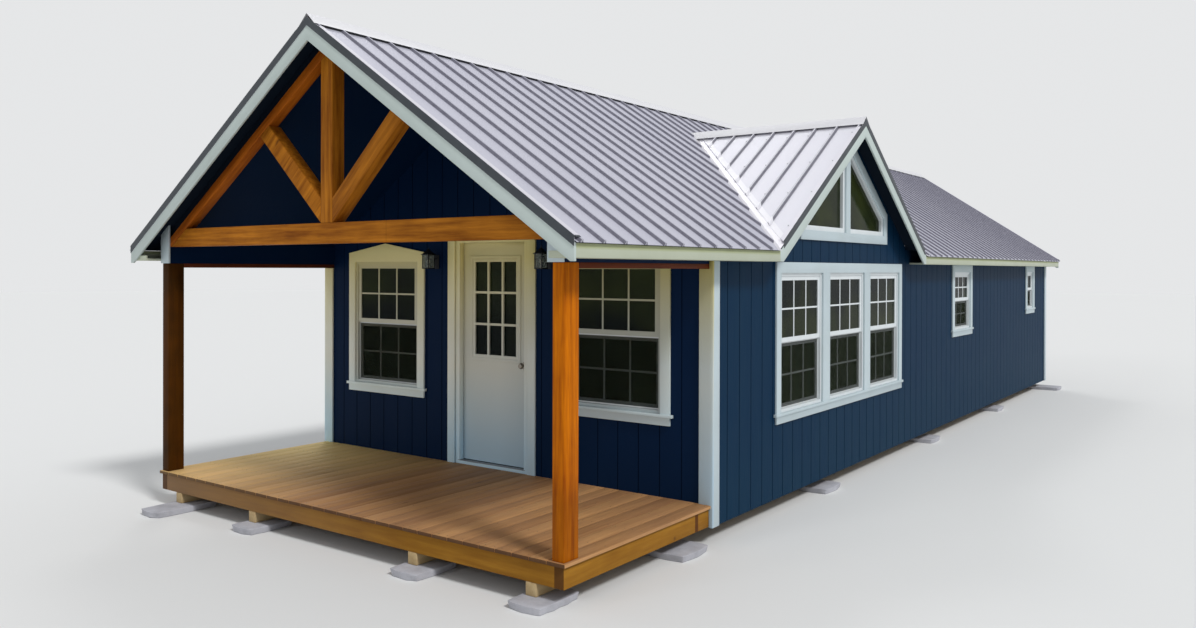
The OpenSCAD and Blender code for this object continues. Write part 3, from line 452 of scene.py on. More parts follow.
@dataclass(frozen=True)
class Timber(Finish):
    """Stained or bare timber with long fibres, bands of late wood and scattered knots.

    A seam parts two lengths at one x. Ends are the cut ends seen past an x and before a y. A butt is
    a dark joint between two values of y. Timber outside the painted span of y, or past the painted x,
    is painted navy. Where shaded is set, painted shade darkens the timber on the left, and on the
    right it is darker towards the foot. Where there is a valley it has the flashing's colour beside
    it. The grain of boards past the turned x runs along the cabin. A face in front of the faded y is
    greyer towards the left.
    """

    light: Colour
    dark: Colour
    knot: Colour
    grain: Grain = Grain.LENGTH
    rough: float = 0.5
    gloss: float = 0.14
    depth: float = 1.35
    seam_x: float | None = None
    faded: float | None = None
    ends: Span | None = None
    shaded: float = 0.0
    valley: bool = False
    butt: Span | None = None
    painted: Point | None = None
    turned: float | None = None

    def lay(self, sheet: Sheet) -> None:
        """Lays the wood and then its marks.

        Args:
            sheet: The material's sheet.
        """
        drawn = sheet.along(self.grain, 16)
        bands = sheet.noise(26, 4, 0.62, drawn)
        fibres = sheet.noise(210, 3, 0.6, drawn)
        cloud = sheet.noise(3.2)
        knot = (1 - sheet.spots(4.2, sheet.along(self.grain, 2.6)) * 11).held()
        if self.turned is not None:
            side = abs(sheet.axes()[0]) > self.turned
            bands = bands * (1 - side) + sheet.noise(26, 4, 0.62, sheet.along(Grain.LENGTH, 16)) * side
        shade = (bands * self.depth + cloud * 0.55 + fibres * 0.25 - 0.6 - (self.depth - 1.35) / 2).held()
        colour = sheet.blend(shade, self.dark, self.light)
        colour = sheet.blend(knot * 0.85, colour, self.knot)
        for share, mark in self.marks(sheet, bands, cloud):
            colour = sheet.blend(share, colour, mark)
        sheet.look(Base_Color=colour, Roughness=self.rough + fibres * 0.22 - knot * 0.1,
                   Specular_IOR_Level=self.gloss)
        sheet.relief(fibres * 0.6 + bands * 0.5 - knot * 0.3, 0.5, 0.0015)

    def marks(self, sheet: Sheet, bands: Value, cloud: Value) -> Iterator[tuple[Value, Colour]]:
        """Gives the marks that lie over the wood.

        Args:
            sheet: The material's sheet.
            bands: The bands of late wood.
            cloud: Broad noise.

        Yields:
            The share and the colour of each mark, from the lowest to the topmost.
        """
        x, y, z = sheet.axes()
        if self.seam_x is not None:
            yield (1 - abs(x - self.seam_x) * 500).held() * 0.85, tone(30, 18, 8)
        if self.faded is not None:
            yield x.ramp(0.9, -0.33) * (y < self.faded) * 0.75, tone(138, 112, 86)
        if self.ends is not None:
            yield (abs(x) > self.ends[0]) * (y < self.ends[1]) * (0.7 + bands * 0.2), tone(72, 42, 20)
        # Painted shade on the left post, and the right post darker towards its foot.
        if self.shaded:
            foot = z.ramp(0.85, -5) * 0.3
            left = (x < 0.0) * (self.shaded + cloud * 0.2 - 0.1)
            yield (left + foot * (x > 0.0)).held(), tone(42, 25, 3)
        if self.valley:
            near = abs(x - abs(y - PLAN.cross_y) - PLAN.valley_x) < 0.16
            yield near * (z > 2.25), tone(196, 195, 206)
        if self.butt is not None:
            yield (y > self.butt[0]) * (y < self.butt[1]) * 0.8, tone(70, 26, 10)
        if self.painted is not None:
            front, back, right = self.painted
            yield ((y < front) + (y > back) + (x > right)).held(), tone(12, 24, 38)


@dataclass(frozen=True)
class DeckBoards(Finish):
    """Sealed deck boards, each with its own tone, worn grey-brown here and there, with painted sunlight
    on the left.
    """

    pitch: float
    light: Colour = tone(204, 154, 100)
    dark: Colour = tone(144, 102, 64)
    worn: Colour = tone(150, 112, 84)
    knot: Colour = tone(88, 52, 24)
    painted_sunlight: Colour = tone(255, 222, 146)
    end: Colour = tone(66, 38, 14)
    end_y: float = -6.953
    foot_z: float = 0.281

    def lay(self, sheet: Sheet) -> None:
        """Lays the boards' wood, wear, painted sunlight on the left side, dark cut ends and a painted
        shadow line along the boards' lowest edges.

        Args:
            sheet: The material's sheet.
        """
        x, y, z = sheet.axes()
        board = (x * (1 / self.pitch)).whole()
        tint = (board * 0.6180339).turns()
        drawn = sheet.along(Grain.LENGTH, 18, board * 0.37)
        bands = sheet.noise(32, 4, 0.6, drawn)
        fibres = sheet.noise(240, 3, 0.6, drawn)
        cloud = sheet.noise(1.5)
        knot = (1 - sheet.spots(3.6, sheet.along(Grain.LENGTH, 2.2, board * 0.8)) * 13).held()
        # Painted sunlight: the boards on the left are lighter, more so towards the wall.
        inner = y.ramp(-6.7, 0.9) * 0.6 + 0.38
        colour = sheet.blend((bands * 1.3 + tint * 0.7 + fibres * 0.2 - 0.6).held(), self.dark, self.light)
        # The front cut ends are dark, and below the given height the boards get a painted shadow line.
        for share, mark in (((cloud * 1.5 - 0.35).held() * 0.7, self.worn), (knot * 0.8, self.knot),
                            (x.ramp(-0.3, -0.55) * inner, self.painted_sunlight),
                            (((y < self.end_y) + (z < self.foot_z)).held() * 0.85, self.end)):
            colour = sheet.blend(share, colour, mark)
        sheet.look(Base_Color=colour, Roughness=0.5 + fibres * 0.25, Specular_IOR_Level=0.22)
        sheet.relief(fibres * 0.7 + bands * 0.5, 0.5, 0.0012)


@dataclass(frozen=True)
class RoofMetal(Finish):
    """Coated steel sheet with faint clouding and a fine spangle."""

    base: Colour
    cloud: Colour
    metallic: float = 0.35
    rough: float = 0.42

    def steel(self, sheet: Sheet) -> tuple[Socket, Value]:
        """Lays what all the roof's steel shares.

        Args:
            sheet: The material's sheet.

        Returns:
            The clouded colour and the fine noise.
        """
        broad = sheet.noise(0.9, 3, 0.5)
        fine = sheet.noise(38, 4, 0.6)
        sheet.look(Metallic=self.metallic)
        sheet.relief(fine * 0.6 + broad * 1.2, 0.18, 0.002)
        return sheet.blend((broad * 0.9 + fine * 0.25 - 0.15).held(), self.base, self.cloud), fine

    def lay(self, sheet: Sheet) -> None:
        """Lays the steel of caps and flashing.

        Args:
            sheet: The material's sheet.
        """
        colour, fine = self.steel(sheet)
        sheet.look(Base_Color=colour, Roughness=self.rough + fine * 0.12 + sheet.spots(60) * 0.05)


@dataclass(frozen=True)
class RibbedMetal(RoofMetal):
    """Roof sheets with dark lines along the feet of the ribs, partly dirt and partly painted shade, on
    the main roof and on the cross gable.
    """

    foot: float = 0.0145
    spread: float = 0.0085
    rib_dust_and_shade: Colour = tone(66, 64, 80)
    painted_sheen: Colour = tone(236, 235, 237)
    flashed: float = 0.13

    def lay(self, sheet: Sheet) -> None:
        """Lays the steel, paler with painted sheen on the cross gable and beside its valleys, and the lines
        of dirt and painted shade.

        Args:
            sheet: The material's sheet.
        """
        x, y, _ = sheet.axes()
        behind = x - abs(y - PLAN.cross_y)
        cross = (x > 0.3) * (behind * PLAN.slope > PLAN.cross_drop)
        lines = []
        for place, first, pitch in ((y, PLAN.first_rib, PLAN.rib_pitch),
                                    (x, PLAN.eave - PLAN.last_rib, PLAN.cross_pitch)):
            off = abs(((place - first) / pitch + 0.5).turns() - 0.5) * pitch
            lines.append((1.5 - abs(off - self.foot) * (1 / self.spread)).held())
        band = cross * (behind - PLAN.valley_x < self.flashed)
        line = lines[0] * (1 - cross) + lines[1] * (cross - band)
        colour, fine = self.steel(sheet)
        # Painted sheen: the cross gable, and a band beside its valleys, are paler.
        colour = sheet.blend((cross * 0.4 + band * 0.3).held(), colour, self.painted_sheen)
        # Dark lines at the rib feet: partly dirt, partly painted shade of the ribs.
        colour = sheet.blend(line * (0.62 + fine * 0.3), colour, self.rib_dust_and_shade)
        sheet.look(Base_Color=colour, Roughness=self.rough + fine * 0.12 + line * 0.2)


@dataclass(frozen=True)
class TrimMetal(Finish):
    """Folded dark trim with a satin coat. Its flanges on the roof, inside the three faces, are painted
    pale as if lit by the sun.
    """

    front: float
    back: float
    side: float
    painted_sunlit_flange: Colour = tone(212, 210, 218)
    base: Colour = tone(48, 54, 60)
    edge: Colour = tone(70, 76, 82)
    metallic: float = 0.2
    rough: float = 0.38

    def lay(self, sheet: Sheet) -> None:
        """Lays the dark coat and the flanges, painted pale as if sunlit.

        Args:
            sheet: The material's sheet.
        """
        cloud = sheet.noise(5, 4, 0.6)
        fine = sheet.noise(120, 3, 0.6)
        x, y, _ = sheet.axes()
        inside = (y > self.front) * (y < self.back) * (x < self.side)
        colour = sheet.blend((cloud * 1.4 - 0.4).held(), self.base, self.edge)
        # Painted light: the flanges on the roof are painted pale, as if sunlit.
        sheet.look(Base_Color=sheet.blend(inside, colour, self.painted_sunlit_flange),
                   Metallic=self.metallic, Roughness=self.rough + fine * 0.14)
        sheet.relief(fine, 0.12, 0.0006)


@dataclass(frozen=True)
class Concrete(Finish):
    """Cast concrete with pores, sand and darker damp patches."""

    pale: Colour = tone(196, 196, 203)
    damp: Colour = tone(152, 152, 158)
    pore: Colour = tone(100, 100, 104)

    def lay(self, sheet: Sheet) -> None:
        """Lays the concrete.

        Args:
            sheet: The material's sheet.
        """
        cloud = sheet.noise(7, 5, 0.62)
        sand = sheet.noise(320, 3, 0.7)
        pores = (1 - sheet.spots(85) * 4.5).held()
        colour = sheet.blend((cloud * 1.5 - 0.35 + sand * 0.25 - 0.1).held(), self.pale, self.damp)
        sheet.look(Base_Color=sheet.blend(pores * 0.5, colour, self.pore), Roughness=0.82 + sand * 0.12)
        sheet.relief(sand * 0.5 - pores * 0.8 + cloud * 0.5, 0.6, 0.002)


@dataclass(frozen=True)
class Pane(Finish):
    """Window glass, dark from outside, with a slight waviness and patches of olive that are painted
    reflections of foliage.
    """

    tint: Colour = tone(15, 21, 21)
    film: Colour = tone(22, 30, 27)
    green: Colour = tone(58, 66, 30)
    alpha: float = 0.8
    wave: float = 0.06
    porch_y: float = -5.0

    def lay(self, sheet: Sheet) -> None:
        """Lays the glass, with more painted olive reflection low on the side walls and high on the porch.

        Args:
            sheet: The material's sheet.
        """
        film = sheet.noise(9, 4, 0.6)
        patch = sheet.noise(2.2, 4, 0.6)
        _, y, z = sheet.axes()
        porch = y < self.porch_y
        high = z.ramp(1.6, 3)
        mirrored = (1 - high) * (1 - porch) + high * porch + (z > 2.4)
        colour = sheet.blend(film, self.tint, self.film)
        # Painted reflection: olive patches stand in for reflected grass and foliage.
        colour = sheet.blend((patch * 1.8 - 0.95 + mirrored * 0.6).held() * 0.85, colour, self.green)
        sheet.look(Base_Color=colour, Alpha=self.alpha, Roughness=0.02 + film * 0.05, Specular_IOR_Level=0.05)
        sheet.relief(sheet.noise(3.5, 2, 0.5), self.wave, 0.01)


@dataclass(frozen=True)
class Plain(Finish):
    """Moulded, plated or frosted small parts with fine grain in the gloss. Dim darkens the painted
    porch light as in PaintedBoard.
    """

    base: Colour
    rough: float
    metallic: float = 0.0
    depth: float = 0.15
    dim: float | None = None
    fine: float = 160.0

    def lay(self, sheet: Sheet) -> None:
        """Lays the part's colour with its wear and porch tint.

        Args:
            sheet: The material's sheet.
        """
        fine = sheet.noise(self.fine, 3, 0.6)
        worn = tuple(part * 0.82 for part in self.base[:3]) + (1.0,)
        colour = sheet.blend((sheet.noise(6) * 1.4 - 0.4).held() * 0.6, self.base, worn)
        # Painted light: under the porch roof the part takes the painted porch light.
        if self.dim is not None:
            colour = PorchPaintedLight().on(sheet, colour, self.dim)
        sheet.look(Base_Color=colour, Roughness=self.rough + fine * 0.12, Metallic=self.metallic)
        sheet.relief(fine, self.depth, 0.0005)


@dataclass(frozen=True)
class InsectMesh(Finish):
    """Woven screen cloth: a see-through weave of dark wires."""

    wire: Colour = tone(24, 29, 22)
    worn: Colour = tone(38, 46, 32)
    pitch: float = 0.0016
    cover: float = 0.42

    def lay(self, sheet: Sheet) -> None:
        """Lays the weave.

        Args:
            sheet: The material's sheet.
        """
        x, y, z = sheet.axes()
        weft = abs((z / self.pitch).turns() - 0.5)
        warp = abs(((x + y) / self.pitch).turns() - 0.5)
        sheet.look(Base_Color=sheet.blend(sheet.noise(5, 3, 0.5), self.wire, self.worn), Roughness=0.8,
                   Specular_IOR_Level=0.05, Alpha=(self.cover - 0.12 + weft * 0.24 + warp * 0.24).held())


class Coat(Enum):
    """The finishes of one colour and grain. A material has its coat's name in small letters."""

    NAVY_BOARDS = Siding(None)
    NAVY_SIDING_X = Siding(0)
    NAVY_SIDING_Y = Siding(1)
    WHITE_TRIM_UPRIGHT = PaintedBoard()
    CREAM_FASCIA = PaintedBoard(tone(182, 188, 168), tone(156, 160, 132), Grain.LENGTH,
                                rough=0.45, soil=0.5, moss_z=2.232, dim=None)
    PALE_RAKE = PaintedBoard(tone(192, 204, 200), tone(164, 174, 164), Grain.ACROSS, soil=0.4, dim=None)
    DOOR_PAINT = PaintedBoard(tone(206, 217, 234), tone(178, 188, 202), rough=0.36, soil=0.3, dim=0.2)
    # Painted shade: a red-brown stain darkened for the plates in the shade under the porch beams.
    DARK_STAIN = Timber(tone(112, 50, 20), tone(70, 28, 8), tone(44, 18, 6))
    RIBBED_STEEL = RibbedMetal(tone(202, 201, 212), tone(182, 182, 197))
    VALLEY_STEEL = RoofMetal(tone(224, 222, 226), tone(208, 206, 214), metallic=0.3, rough=0.32)
    CAP_STEEL = RoofMetal(tone(228, 227, 228), tone(212, 212, 218), metallic=0.3, rough=0.4)
    CAST_CONCRETE = Concrete()
    WINDOW_PANE = Pane()
    LANTERN_GLASS = Pane(tint=tone(150, 160, 150), green=tone(160, 168, 158), alpha=0.34, wave=0.1)
    WHITE_VINYL = Plain(tone(220, 226, 228), rough=0.3, depth=0.05, dim=0.3)
    SATIN_NICKEL = Plain(tone(140, 134, 124), rough=0.3, metallic=1.0, depth=0.08)
    THRESHOLD_METAL = Plain(tone(150, 150, 152), rough=0.38, metallic=0.85)
    LANTERN_BLACK = Plain(tone(24, 24, 26), rough=0.35, metallic=0.4)
    FROSTED_BULB = Plain(tone(228, 222, 200), rough=0.25, depth=0.05)
    DARK_SEAL = Plain(tone(34, 36, 40), rough=0.85, depth=0.5)
    SCREW_HEADS = Plain(tone(92, 74, 52), rough=0.4, metallic=0.6)
    SCREW_STEEL = Plain(tone(168, 168, 176), rough=0.35, metallic=0.7)
    SCREEN_FRAME = Plain(tone(206, 210, 210), rough=0.4, metallic=0.2)
    SCREEN_CLOTH = InsectMesh()


class Wood(Enum):
    """The timbers. A material has its timber's name and its grain's in small letters."""

    ORANGE_TIMBER = Timber(tone(222, 126, 2), tone(150, 70, 0), tone(84, 36, 2),
                           gloss=0.08, depth=1.9, shaded=0.93)
    OILED_TIMBER = Timber(tone(200, 126, 34), tone(118, 62, 8), tone(70, 34, 6), gloss=0.08, depth=1.9)
    RED_TIMBER = Timber(tone(184, 100, 20), tone(112, 50, 6), tone(66, 28, 4), gloss=0.08, depth=1.9)
    ROOF_PINE = Timber(tone(204, 182, 140), tone(168, 140, 98), tone(110, 78, 46), rough=0.68,
                       valley=True, painted=(-6.84, 7.09, 2.296))
    SAWN_PINE = Timber(tone(204, 182, 140), tone(168, 140, 98), tone(110, 78, 46), rough=0.68)
    # Painted shade: pine darkened for the floor rims and joists in the shade under the house.
    PAINTED_SHADE_PINE = Timber(tone(96, 82, 62), tone(64, 54, 42), tone(44, 36, 28), rough=0.75)
    SEALED_BOARD = Timber(tone(168, 119, 38), tone(124, 79, 19), tone(86, 50, 14), rough=0.6,
                          ends=(2.21, -6.936), butt=(-5.345, -5.3), turned=2.262, faded=-6.93)


@dataclass
class Palette:
    """Every finish of the cabin, each made once."""

    made: dict[str, Material] = field(default_factory=dict)

    def get(self, name: str, finish: Finish) -> Material:
        """Gives the material of a finish.

        Args:
            name: The material's name.
            finish: The finish that builds it the first time.

        Returns:
            The material.
        """
        if name not in self.made:
            self.made[name] = finish.material(name)
        return self.made[name]

    def coat(self, kind: Coat) -> Material:
        """Gives a coat's material."""
        return self.get(kind.name.lower(), kind.value)

    def wood(self, kind: Wood, grain: Grain, seam_x: float | None = None) -> Material:
        """Gives a timber's material, with its grain and the x where two lengths meet."""
        name = f"{kind.name}_{grain.name}".lower() + ("_seamed" if seam_x is not None else "")
        return self.get(name, replace(kind.value, grain=grain, seam_x=seam_x))


def clear() -> None:
    """Leaves edit mode and deselects everything."""
    if bpy.context.object is not None and bpy.context.object.mode != "OBJECT":
        bpy.ops.object.mode_set(mode="OBJECT")
    bpy.ops.object.select_all(action="DESELECT")


def pick(piece: Piece) -> None:
    """Selects one piece alone."""
    clear()
    piece.select_set(True)
    bpy.context.view_layer.objects.active = piece


def settle(name: str | None = None) -> Piece:
    """Moves the active piece's place into its mesh.

    Args:
        name: The name that it gets, if any.

    Returns:
        The piece.
    """
    piece = bpy.context.object
    piece.name = name or piece.name
    bpy.ops.object.transform_apply(location=True, rotation=True, scale=True)
    return piece


def block(name: str, low: Sequence[float], high: Sequence[float]) -> Piece:
    """Adds a board between two corners.

    Args:
        name: The piece's name.
        low: Its lowest corner.
        high: Its highest corner.

    Returns:
        The board, settled at its place.
    """
    a, b = Vector(low), Vector(high)
    clear()
    bpy.ops.mesh.primitive_cube_add(size=1, location=(a + b) / 2, scale=b - a)
    return settle(name)


def disc(name: str, foot: Sequence[float], radius: float, height: float, sides: int,
         taper: float = 1.0) -> Piece:
    """Adds a round upright piece.

    Args:
        name: The piece's name.
        foot: The middle of its foot.
        radius: The radius of its foot.
        height: How far it stands up.
        sides: The number of its sides.
        taper: The radius of its top as a share of its foot.

    Returns:
        The piece, settled at its place.
    """
    clear()
    bpy.ops.mesh.primitive_cone_add(vertices=sides, radius1=radius, radius2=radius * taper,
                                    depth=height, location=(0, 0, height / 2))
    settle(name).location = foot
    return settle()


class Select(Enum):
    """What edit mode selects."""

    POINTS = "VERT"
    EDGES = "EDGE"
    FACES = "FACE"


def everywhere(point: Vector) -> bool:
    """Passes every point."""
    return True


@contextmanager
def editing(piece: Piece, test: Callable[[Vector], bool] = everywhere,
            select: Select = Select.POINTS) -> Iterator[None]:
    """Opens edit mode with the points that pass a test selected, and closes it afterwards.

    Args:
        piece: The piece to work on.
        test: Says for a point whether it is selected.
        select: What the operators then find selected.

    Yields:
        Nothing. The operators come in its block.
    """
    pick(piece)
    bpy.ops.object.mode_set(mode="EDIT")
    bpy.ops.mesh.select_mode(type="VERT")
    bpy.ops.mesh.select_all(action="DESELECT")
    bpy.ops.object.mode_set(mode="OBJECT")
    for vertex in piece.data.vertices:
        vertex.select = test(vertex.co)
    bpy.ops.object.mode_set(mode="EDIT")
    if select is not Select.POINTS:
        bpy.ops.mesh.select_mode(type=select.value)
    yield
    bpy.ops.object.mode_set(mode="OBJECT")


def apart(piece: Piece) -> list[Piece]:
    """Parts a piece into its loose solids.

    Args:
        piece: The piece, which becomes one of them.

    Returns:
        The solids in the order of their places.
    """
    with editing(piece):
        bpy.ops.mesh.separate(type="LOOSE")
    return sorted(bpy.context.selected_objects, key=lambda part: tuple(part.data.vertices[0].co))


def join(name: str, parts: Sequence[Piece]) -> Piece:
    """Makes one piece of several.

    Args:
        name: The piece's name.
        parts: What it is made of.

    Returns:
        The piece.
    """
    pick(parts[0])
    for part in parts[1:]:
        part.select_set(True)
    if len(parts) > 1:
        bpy.ops.object.join()
    piece = bpy.context.object
    piece.name = name
    piece.data.name = name
    return piece


def modify(piece: Piece, kind: str, **settings: Any) -> None:
    """Adds a modifier and applies it.

    Args:
        piece: The piece to change.
        kind: The modifier's type name.
        settings: The modifier's properties.
    """
    pick(piece)
    made = piece.modifiers.new(kind.lower(), kind)
    for key, setting in settings.items():
        setattr(made, key, setting)
    bpy.ops.object.modifier_apply(modifier=made.name)


def smooth(piece: Piece, degrees: float = SMOOTH) -> None:
    """Shades a piece smooth across angles up to some degrees."""
    pick(piece)
    bpy.ops.object.shade_smooth_by_angle(angle=math.radians(degrees))


def soften(piece: Piece, width: float, segments: int = 2) -> None:
    """Rounds the edges of a piece and shades it smooth between them.

    Args:
        piece: The piece to change.
        width: The width of the rounding in metres.
        segments: The number of facets across it.
    """
    modify(piece, "BEVEL", width=width, segments=segments, limit_method="ANGLE",
           angle_limit=math.radians(SHARP), use_clamp_overlap=True)
    smooth(piece)


def spread(name: str, model: Piece, places: Sequence[Matrix]) -> Piece:
    """Copies a model to many places, each copy with its own mesh, and joins them.

    Args:
        name: The name of the joined piece.
        model: The model, made round the origin. It is used up.
        places: Where the copies go.

    Returns:
        The joined piece.
    """
    copies = []
    for place in places:
        copy = bpy.data.objects.new(name, model.data.copy())
        copy.data.transform(place)
        bpy.context.scene.collection.objects.link(copy)
        copies.append(copy)
    bpy.data.objects.remove(model)
    return join(name, copies)


def lattice(name: str, low: Point, high: Point, cells: tuple[int, int], bar: float, rim: float) -> Piece:
    """Makes a flat frame in x and z with crossing bars, all of one piece.

    Args:
        name: The piece's name.
        low: The lower corner, with the near face's y.
        high: The upper corner, with the far face's y.
        cells: The number of openings across and up.
        bar: The width of the bars.
        rim: The width of the outer frame.

    Returns:
        The lattice.
    """
    a, b = Vector(low), Vector(high)
    inner = rim - bar / 2
    clear()
    bpy.ops.mesh.primitive_grid_add(x_subdivisions=cells[0], y_subdivisions=cells[1], size=1)
    piece = bpy.context.object
    piece.scale = (b.x - a.x - 2 * inner, b.z - a.z - 2 * inner, 1)
    piece.rotation_euler = (math.pi / 2, 0, 0)
    piece.location = ((a.x + b.x) / 2, a.y, (a.z + b.z) / 2)
    settle(name)
    with editing(piece, select=Select.FACES):
        bpy.ops.mesh.inset(thickness=bar / 2, depth=0, use_individual=True)
        bpy.ops.mesh.delete(type="FACE")
    for axis in (0, 2):
        for side, bound in ((-1, a[axis] + inner), (1, b[axis] - inner)):
            move = Vector((0, 0, 0))
            move[axis] = side * inner
            with editing(piece, lambda point: (point[axis] - bound) * side > -1e-4):
                bpy.ops.transform.translate(value=move)
    modify(piece, "SOLIDIFY", thickness=b.y - a.y, offset=-1)
    return piece


@dataclass
class Assembly:
    """What every sub-assembly shares: the CAD nodes, the finishes and the body it rides on."""

    nodes: dict[str, Piece]
    palette: Palette
    body: str = "house"

    def copied(self, node: str, name: str) -> Piece:
        """Copies a node's mesh into a new piece with whole faces.

        Args:
            node: The node's name.
            name: The new piece's name.

        Returns:
            The copy, merged and free of needless edges.
        """
        piece = bpy.data.objects.new(name, self.nodes[node].data.copy())
        bpy.context.scene.collection.objects.link(piece)
        piece.data.materials.clear()
        with editing(piece):
            bpy.ops.mesh.remove_doubles(threshold=MERGE)
            bpy.ops.mesh.dissolve_limited(angle_limit=math.radians(FLAT))
            bpy.ops.mesh.normals_make_consistent(inside=False)
        return piece

    def finish(self, piece: Piece, material: Material, slot: str, *replaced: str) -> None:
        """Gives a new piece its material and body.

        Args:
            piece: The finished piece.
            material: Its material.
            slot: Not used.
            replaced: The nodes that the piece stands for.
        """
        piece.data.materials.clear()
        piece.data.materials.append(material)
        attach(piece, self.body)
        if replaced:
            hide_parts(*replaced)
        log.info("%s: %d faces", piece.name, len(piece.data.polygons))

    def paint(self, material: Material, *names: str) -> None:
        """Gives nodes that keep their own shape a better material.

        Args:
            material: The material.
            names: The nodes' names.
        """
        for name in names:
            materials = self.nodes[name].data.materials
            if not materials:
                materials.append(material)
            for number in range(len(materials)):
                materials[number] = material

    def rounded(self, width: float, material: Material, slot: str, *names: str) -> None:
        """Replaces nodes by the same shapes with rounded edges.

        Args:
            width: The width of the rounding in metres.
            material: The pieces' material.
            slot: The name of a material slot, passed on to finish.
            names: The nodes' names.
        """
        for name in names:
            piece = self.copied(name, f"{name}_finished")
            soften(piece, width)
            self.finish(piece, material, slot, name)


@dataclass
class Foundation(Assembly):
    """Pads, skids and the boards of the floor."""

    chip: float = 0.05
    cuts: int = 5
    edge: float = 0.006
    shorter: float = 0.72
    front_row: float = -6.6
    right_row: float = 2.3
    last_row: float = 6.0
    buried: float = 0.62

    def build(self) -> None:
        """Dresses everything below the floor."""
        wood = self.palette.wood
        self.pads()
        self.rounded(self.edge, wood(Wood.SAWN_PINE, Grain.LENGTH), "raw_timber", "skids")
        # Painted shade: the floor rims and joists take the darkened pine.
        self.paint(wood(Wood.PAINTED_SHADE_PINE, Grain.LENGTH), "floor_rims")
        self.paint(wood(Wood.PAINTED_SHADE_PINE, Grain.ACROSS), "floor_joists")
        self.paint(wood(Wood.SAWN_PINE, Grain.LENGTH), "house_floor")

    def pads(self) -> None:
        """Makes the pads uneven: drawn in where the ground hid them less, with broken edges."""
        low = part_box("foundation_pads")[0]
        pads = apart(self.copied("foundation_pads", "cast_pads"))
        for number, pad in enumerate(pads):
            first, last = (Vector([end(vertex.co[axis] for vertex in pad.data.vertices) for axis in range(3)])
                           for end in (min, max))
            with editing(pad, select=Select.EDGES):
                bpy.ops.mesh.subdivide(number_cuts=self.cuts)
            front = first.y < self.front_row
            outmost = front and first.x < low.x / 2
            side = not front and last.x > self.right_row and first.y < self.last_row
            for vertex in pad.data.vertices:
                vertex.co = self.worn(vertex.co, first, last, number, front and not outmost)
                if side:
                    vertex.co.x = first.x + (vertex.co.x - first.x) * self.buried
                if front:
                    vertex.co.x = last.x - (last.x - vertex.co.x) * self.shorter
            soften(pad, self.edge)
        concrete = self.palette.coat(Coat.CAST_CONCRETE)
        self.finish(join("cast_pads", pads), concrete, "concrete", "foundation_pads")

    def worn(self, point: Vector, low: Vector, high: Vector, seed: int, short: bool) -> Vector:
        """Moves one point of a pad inwards by an uneven amount.

        Args:
            point: The point on the pad's surface.
            low: The pad's lowest corner.
            high: The pad's highest corner.
            seed: The pad's number.
            short: Whether the pad reaches less far to the front.

        Returns:
            The moved point, still inside the pad.
        """
        middle = (low + high) / 2
        wave = math.sin(point.x * 31 + seed * 1.7) * math.cos(point.y * 27 - seed * 2.3)
        wave = 0.5 + 0.5 * wave * math.cos(point.z * 60 + seed)
        corner = abs(point.x - middle.x) / (high.x - middle.x) * abs(point.y - middle.y) / (high.y - middle.y)
        pull = self.chip * (wave * 0.5 + corner * corner * 0.9) * (1 - 0.4 * point.z / high.z)
        away = Vector((point.x - middle.x, point.y - middle.y, 0.0))
        moved = point - away * (pull / max(away.length, 0.02))
        if short:
            moved.y = high.y - (high.y - moved.y) * self.shorter
        return moved


@dataclass
class Porch(Assembly):
    """The deck, posts, beams and truss."""

    boards: int = 32
    gap: float = 0.004
    edge: float = 0.005
    thin: float = 0.003
    seam_x: float = 0.667
    screw_rows: Span = (-6.917, -5.177)
    rows: int = 5
    screw_inset: float = 0.22
    screw: Span = (0.0042, 0.0024)
    sunk: float = 0.002

    def build(self) -> None:
        """Dresses the porch."""
        self.deck()
        coat, wood = self.palette.coat, self.palette.wood
        self.rounded(self.thin, wood(Wood.SEALED_BOARD, Grain.ACROSS), "deck_wood", "porch_rim")
        for width, material, node in (
                (self.edge, wood(Wood.OILED_TIMBER, Grain.ACROSS, self.seam_x), "truss_bottom_chord"),
                (self.edge, wood(Wood.OILED_TIMBER, Grain.UPRIGHT), "truss_king_post"),
                (self.edge, wood(Wood.OILED_TIMBER, Grain.STEEP_RIGHT), "truss_webs"),
                (self.edge, wood(Wood.ORANGE_TIMBER, Grain.UPRIGHT), "porch_posts"),
                (self.thin, coat(Coat.DARK_STAIN), "porch_plates"),
                (self.edge, wood(Wood.RED_TIMBER, Grain.RISING), "truss_top_chord_left"),
                (self.edge, wood(Wood.RED_TIMBER, Grain.FALLING), "truss_top_chord_right")):
            self.rounded(width, material, "stained_timber", node)
        self.paint(coat(Coat.NAVY_BOARDS), "porch_beams", "porch_ceiling")

    def deck(self) -> None:
        """Lays the deck boards one by one, with two screws at each joist."""
        low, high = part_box("porch_deck")
        pitch = (high.x - low.x) / self.boards
        planks = []
        for number in range(self.boards):
            x = low.x + number * pitch
            left = x if number == 0 else x + self.gap / 2
            right = x + pitch if number == self.boards - 1 else x + pitch - self.gap / 2
            planks.append(block("plank", (left, low.y, low.z), (right, high.y, high.z)))
        deck = join("deck_boards", planks)
        soften(deck, self.thin)
        self.finish(deck, self.palette.get("deck_finish", DeckBoards(pitch)), "deck_wood", "porch_deck")
        first, last = self.screw_rows
        foot = (low.x + pitch * self.screw_inset, first, high.z - self.sunk)
        screw = disc("deck_screws", foot, *self.screw, 10)
        for count, offset in ((2, (pitch * (1 - 2 * self.screw_inset), 0, 0)), (self.boards, (pitch, 0, 0)),
                              (self.rows, (0, (last - first) / (self.rows - 1), 0))):
            modify(screw, "ARRAY", count=count, use_relative_offset=False, use_constant_offset=True,
                   constant_offset_displace=offset)
        self.finish(screw, self.palette.coat(Coat.SCREW_HEADS), "deck_wood")


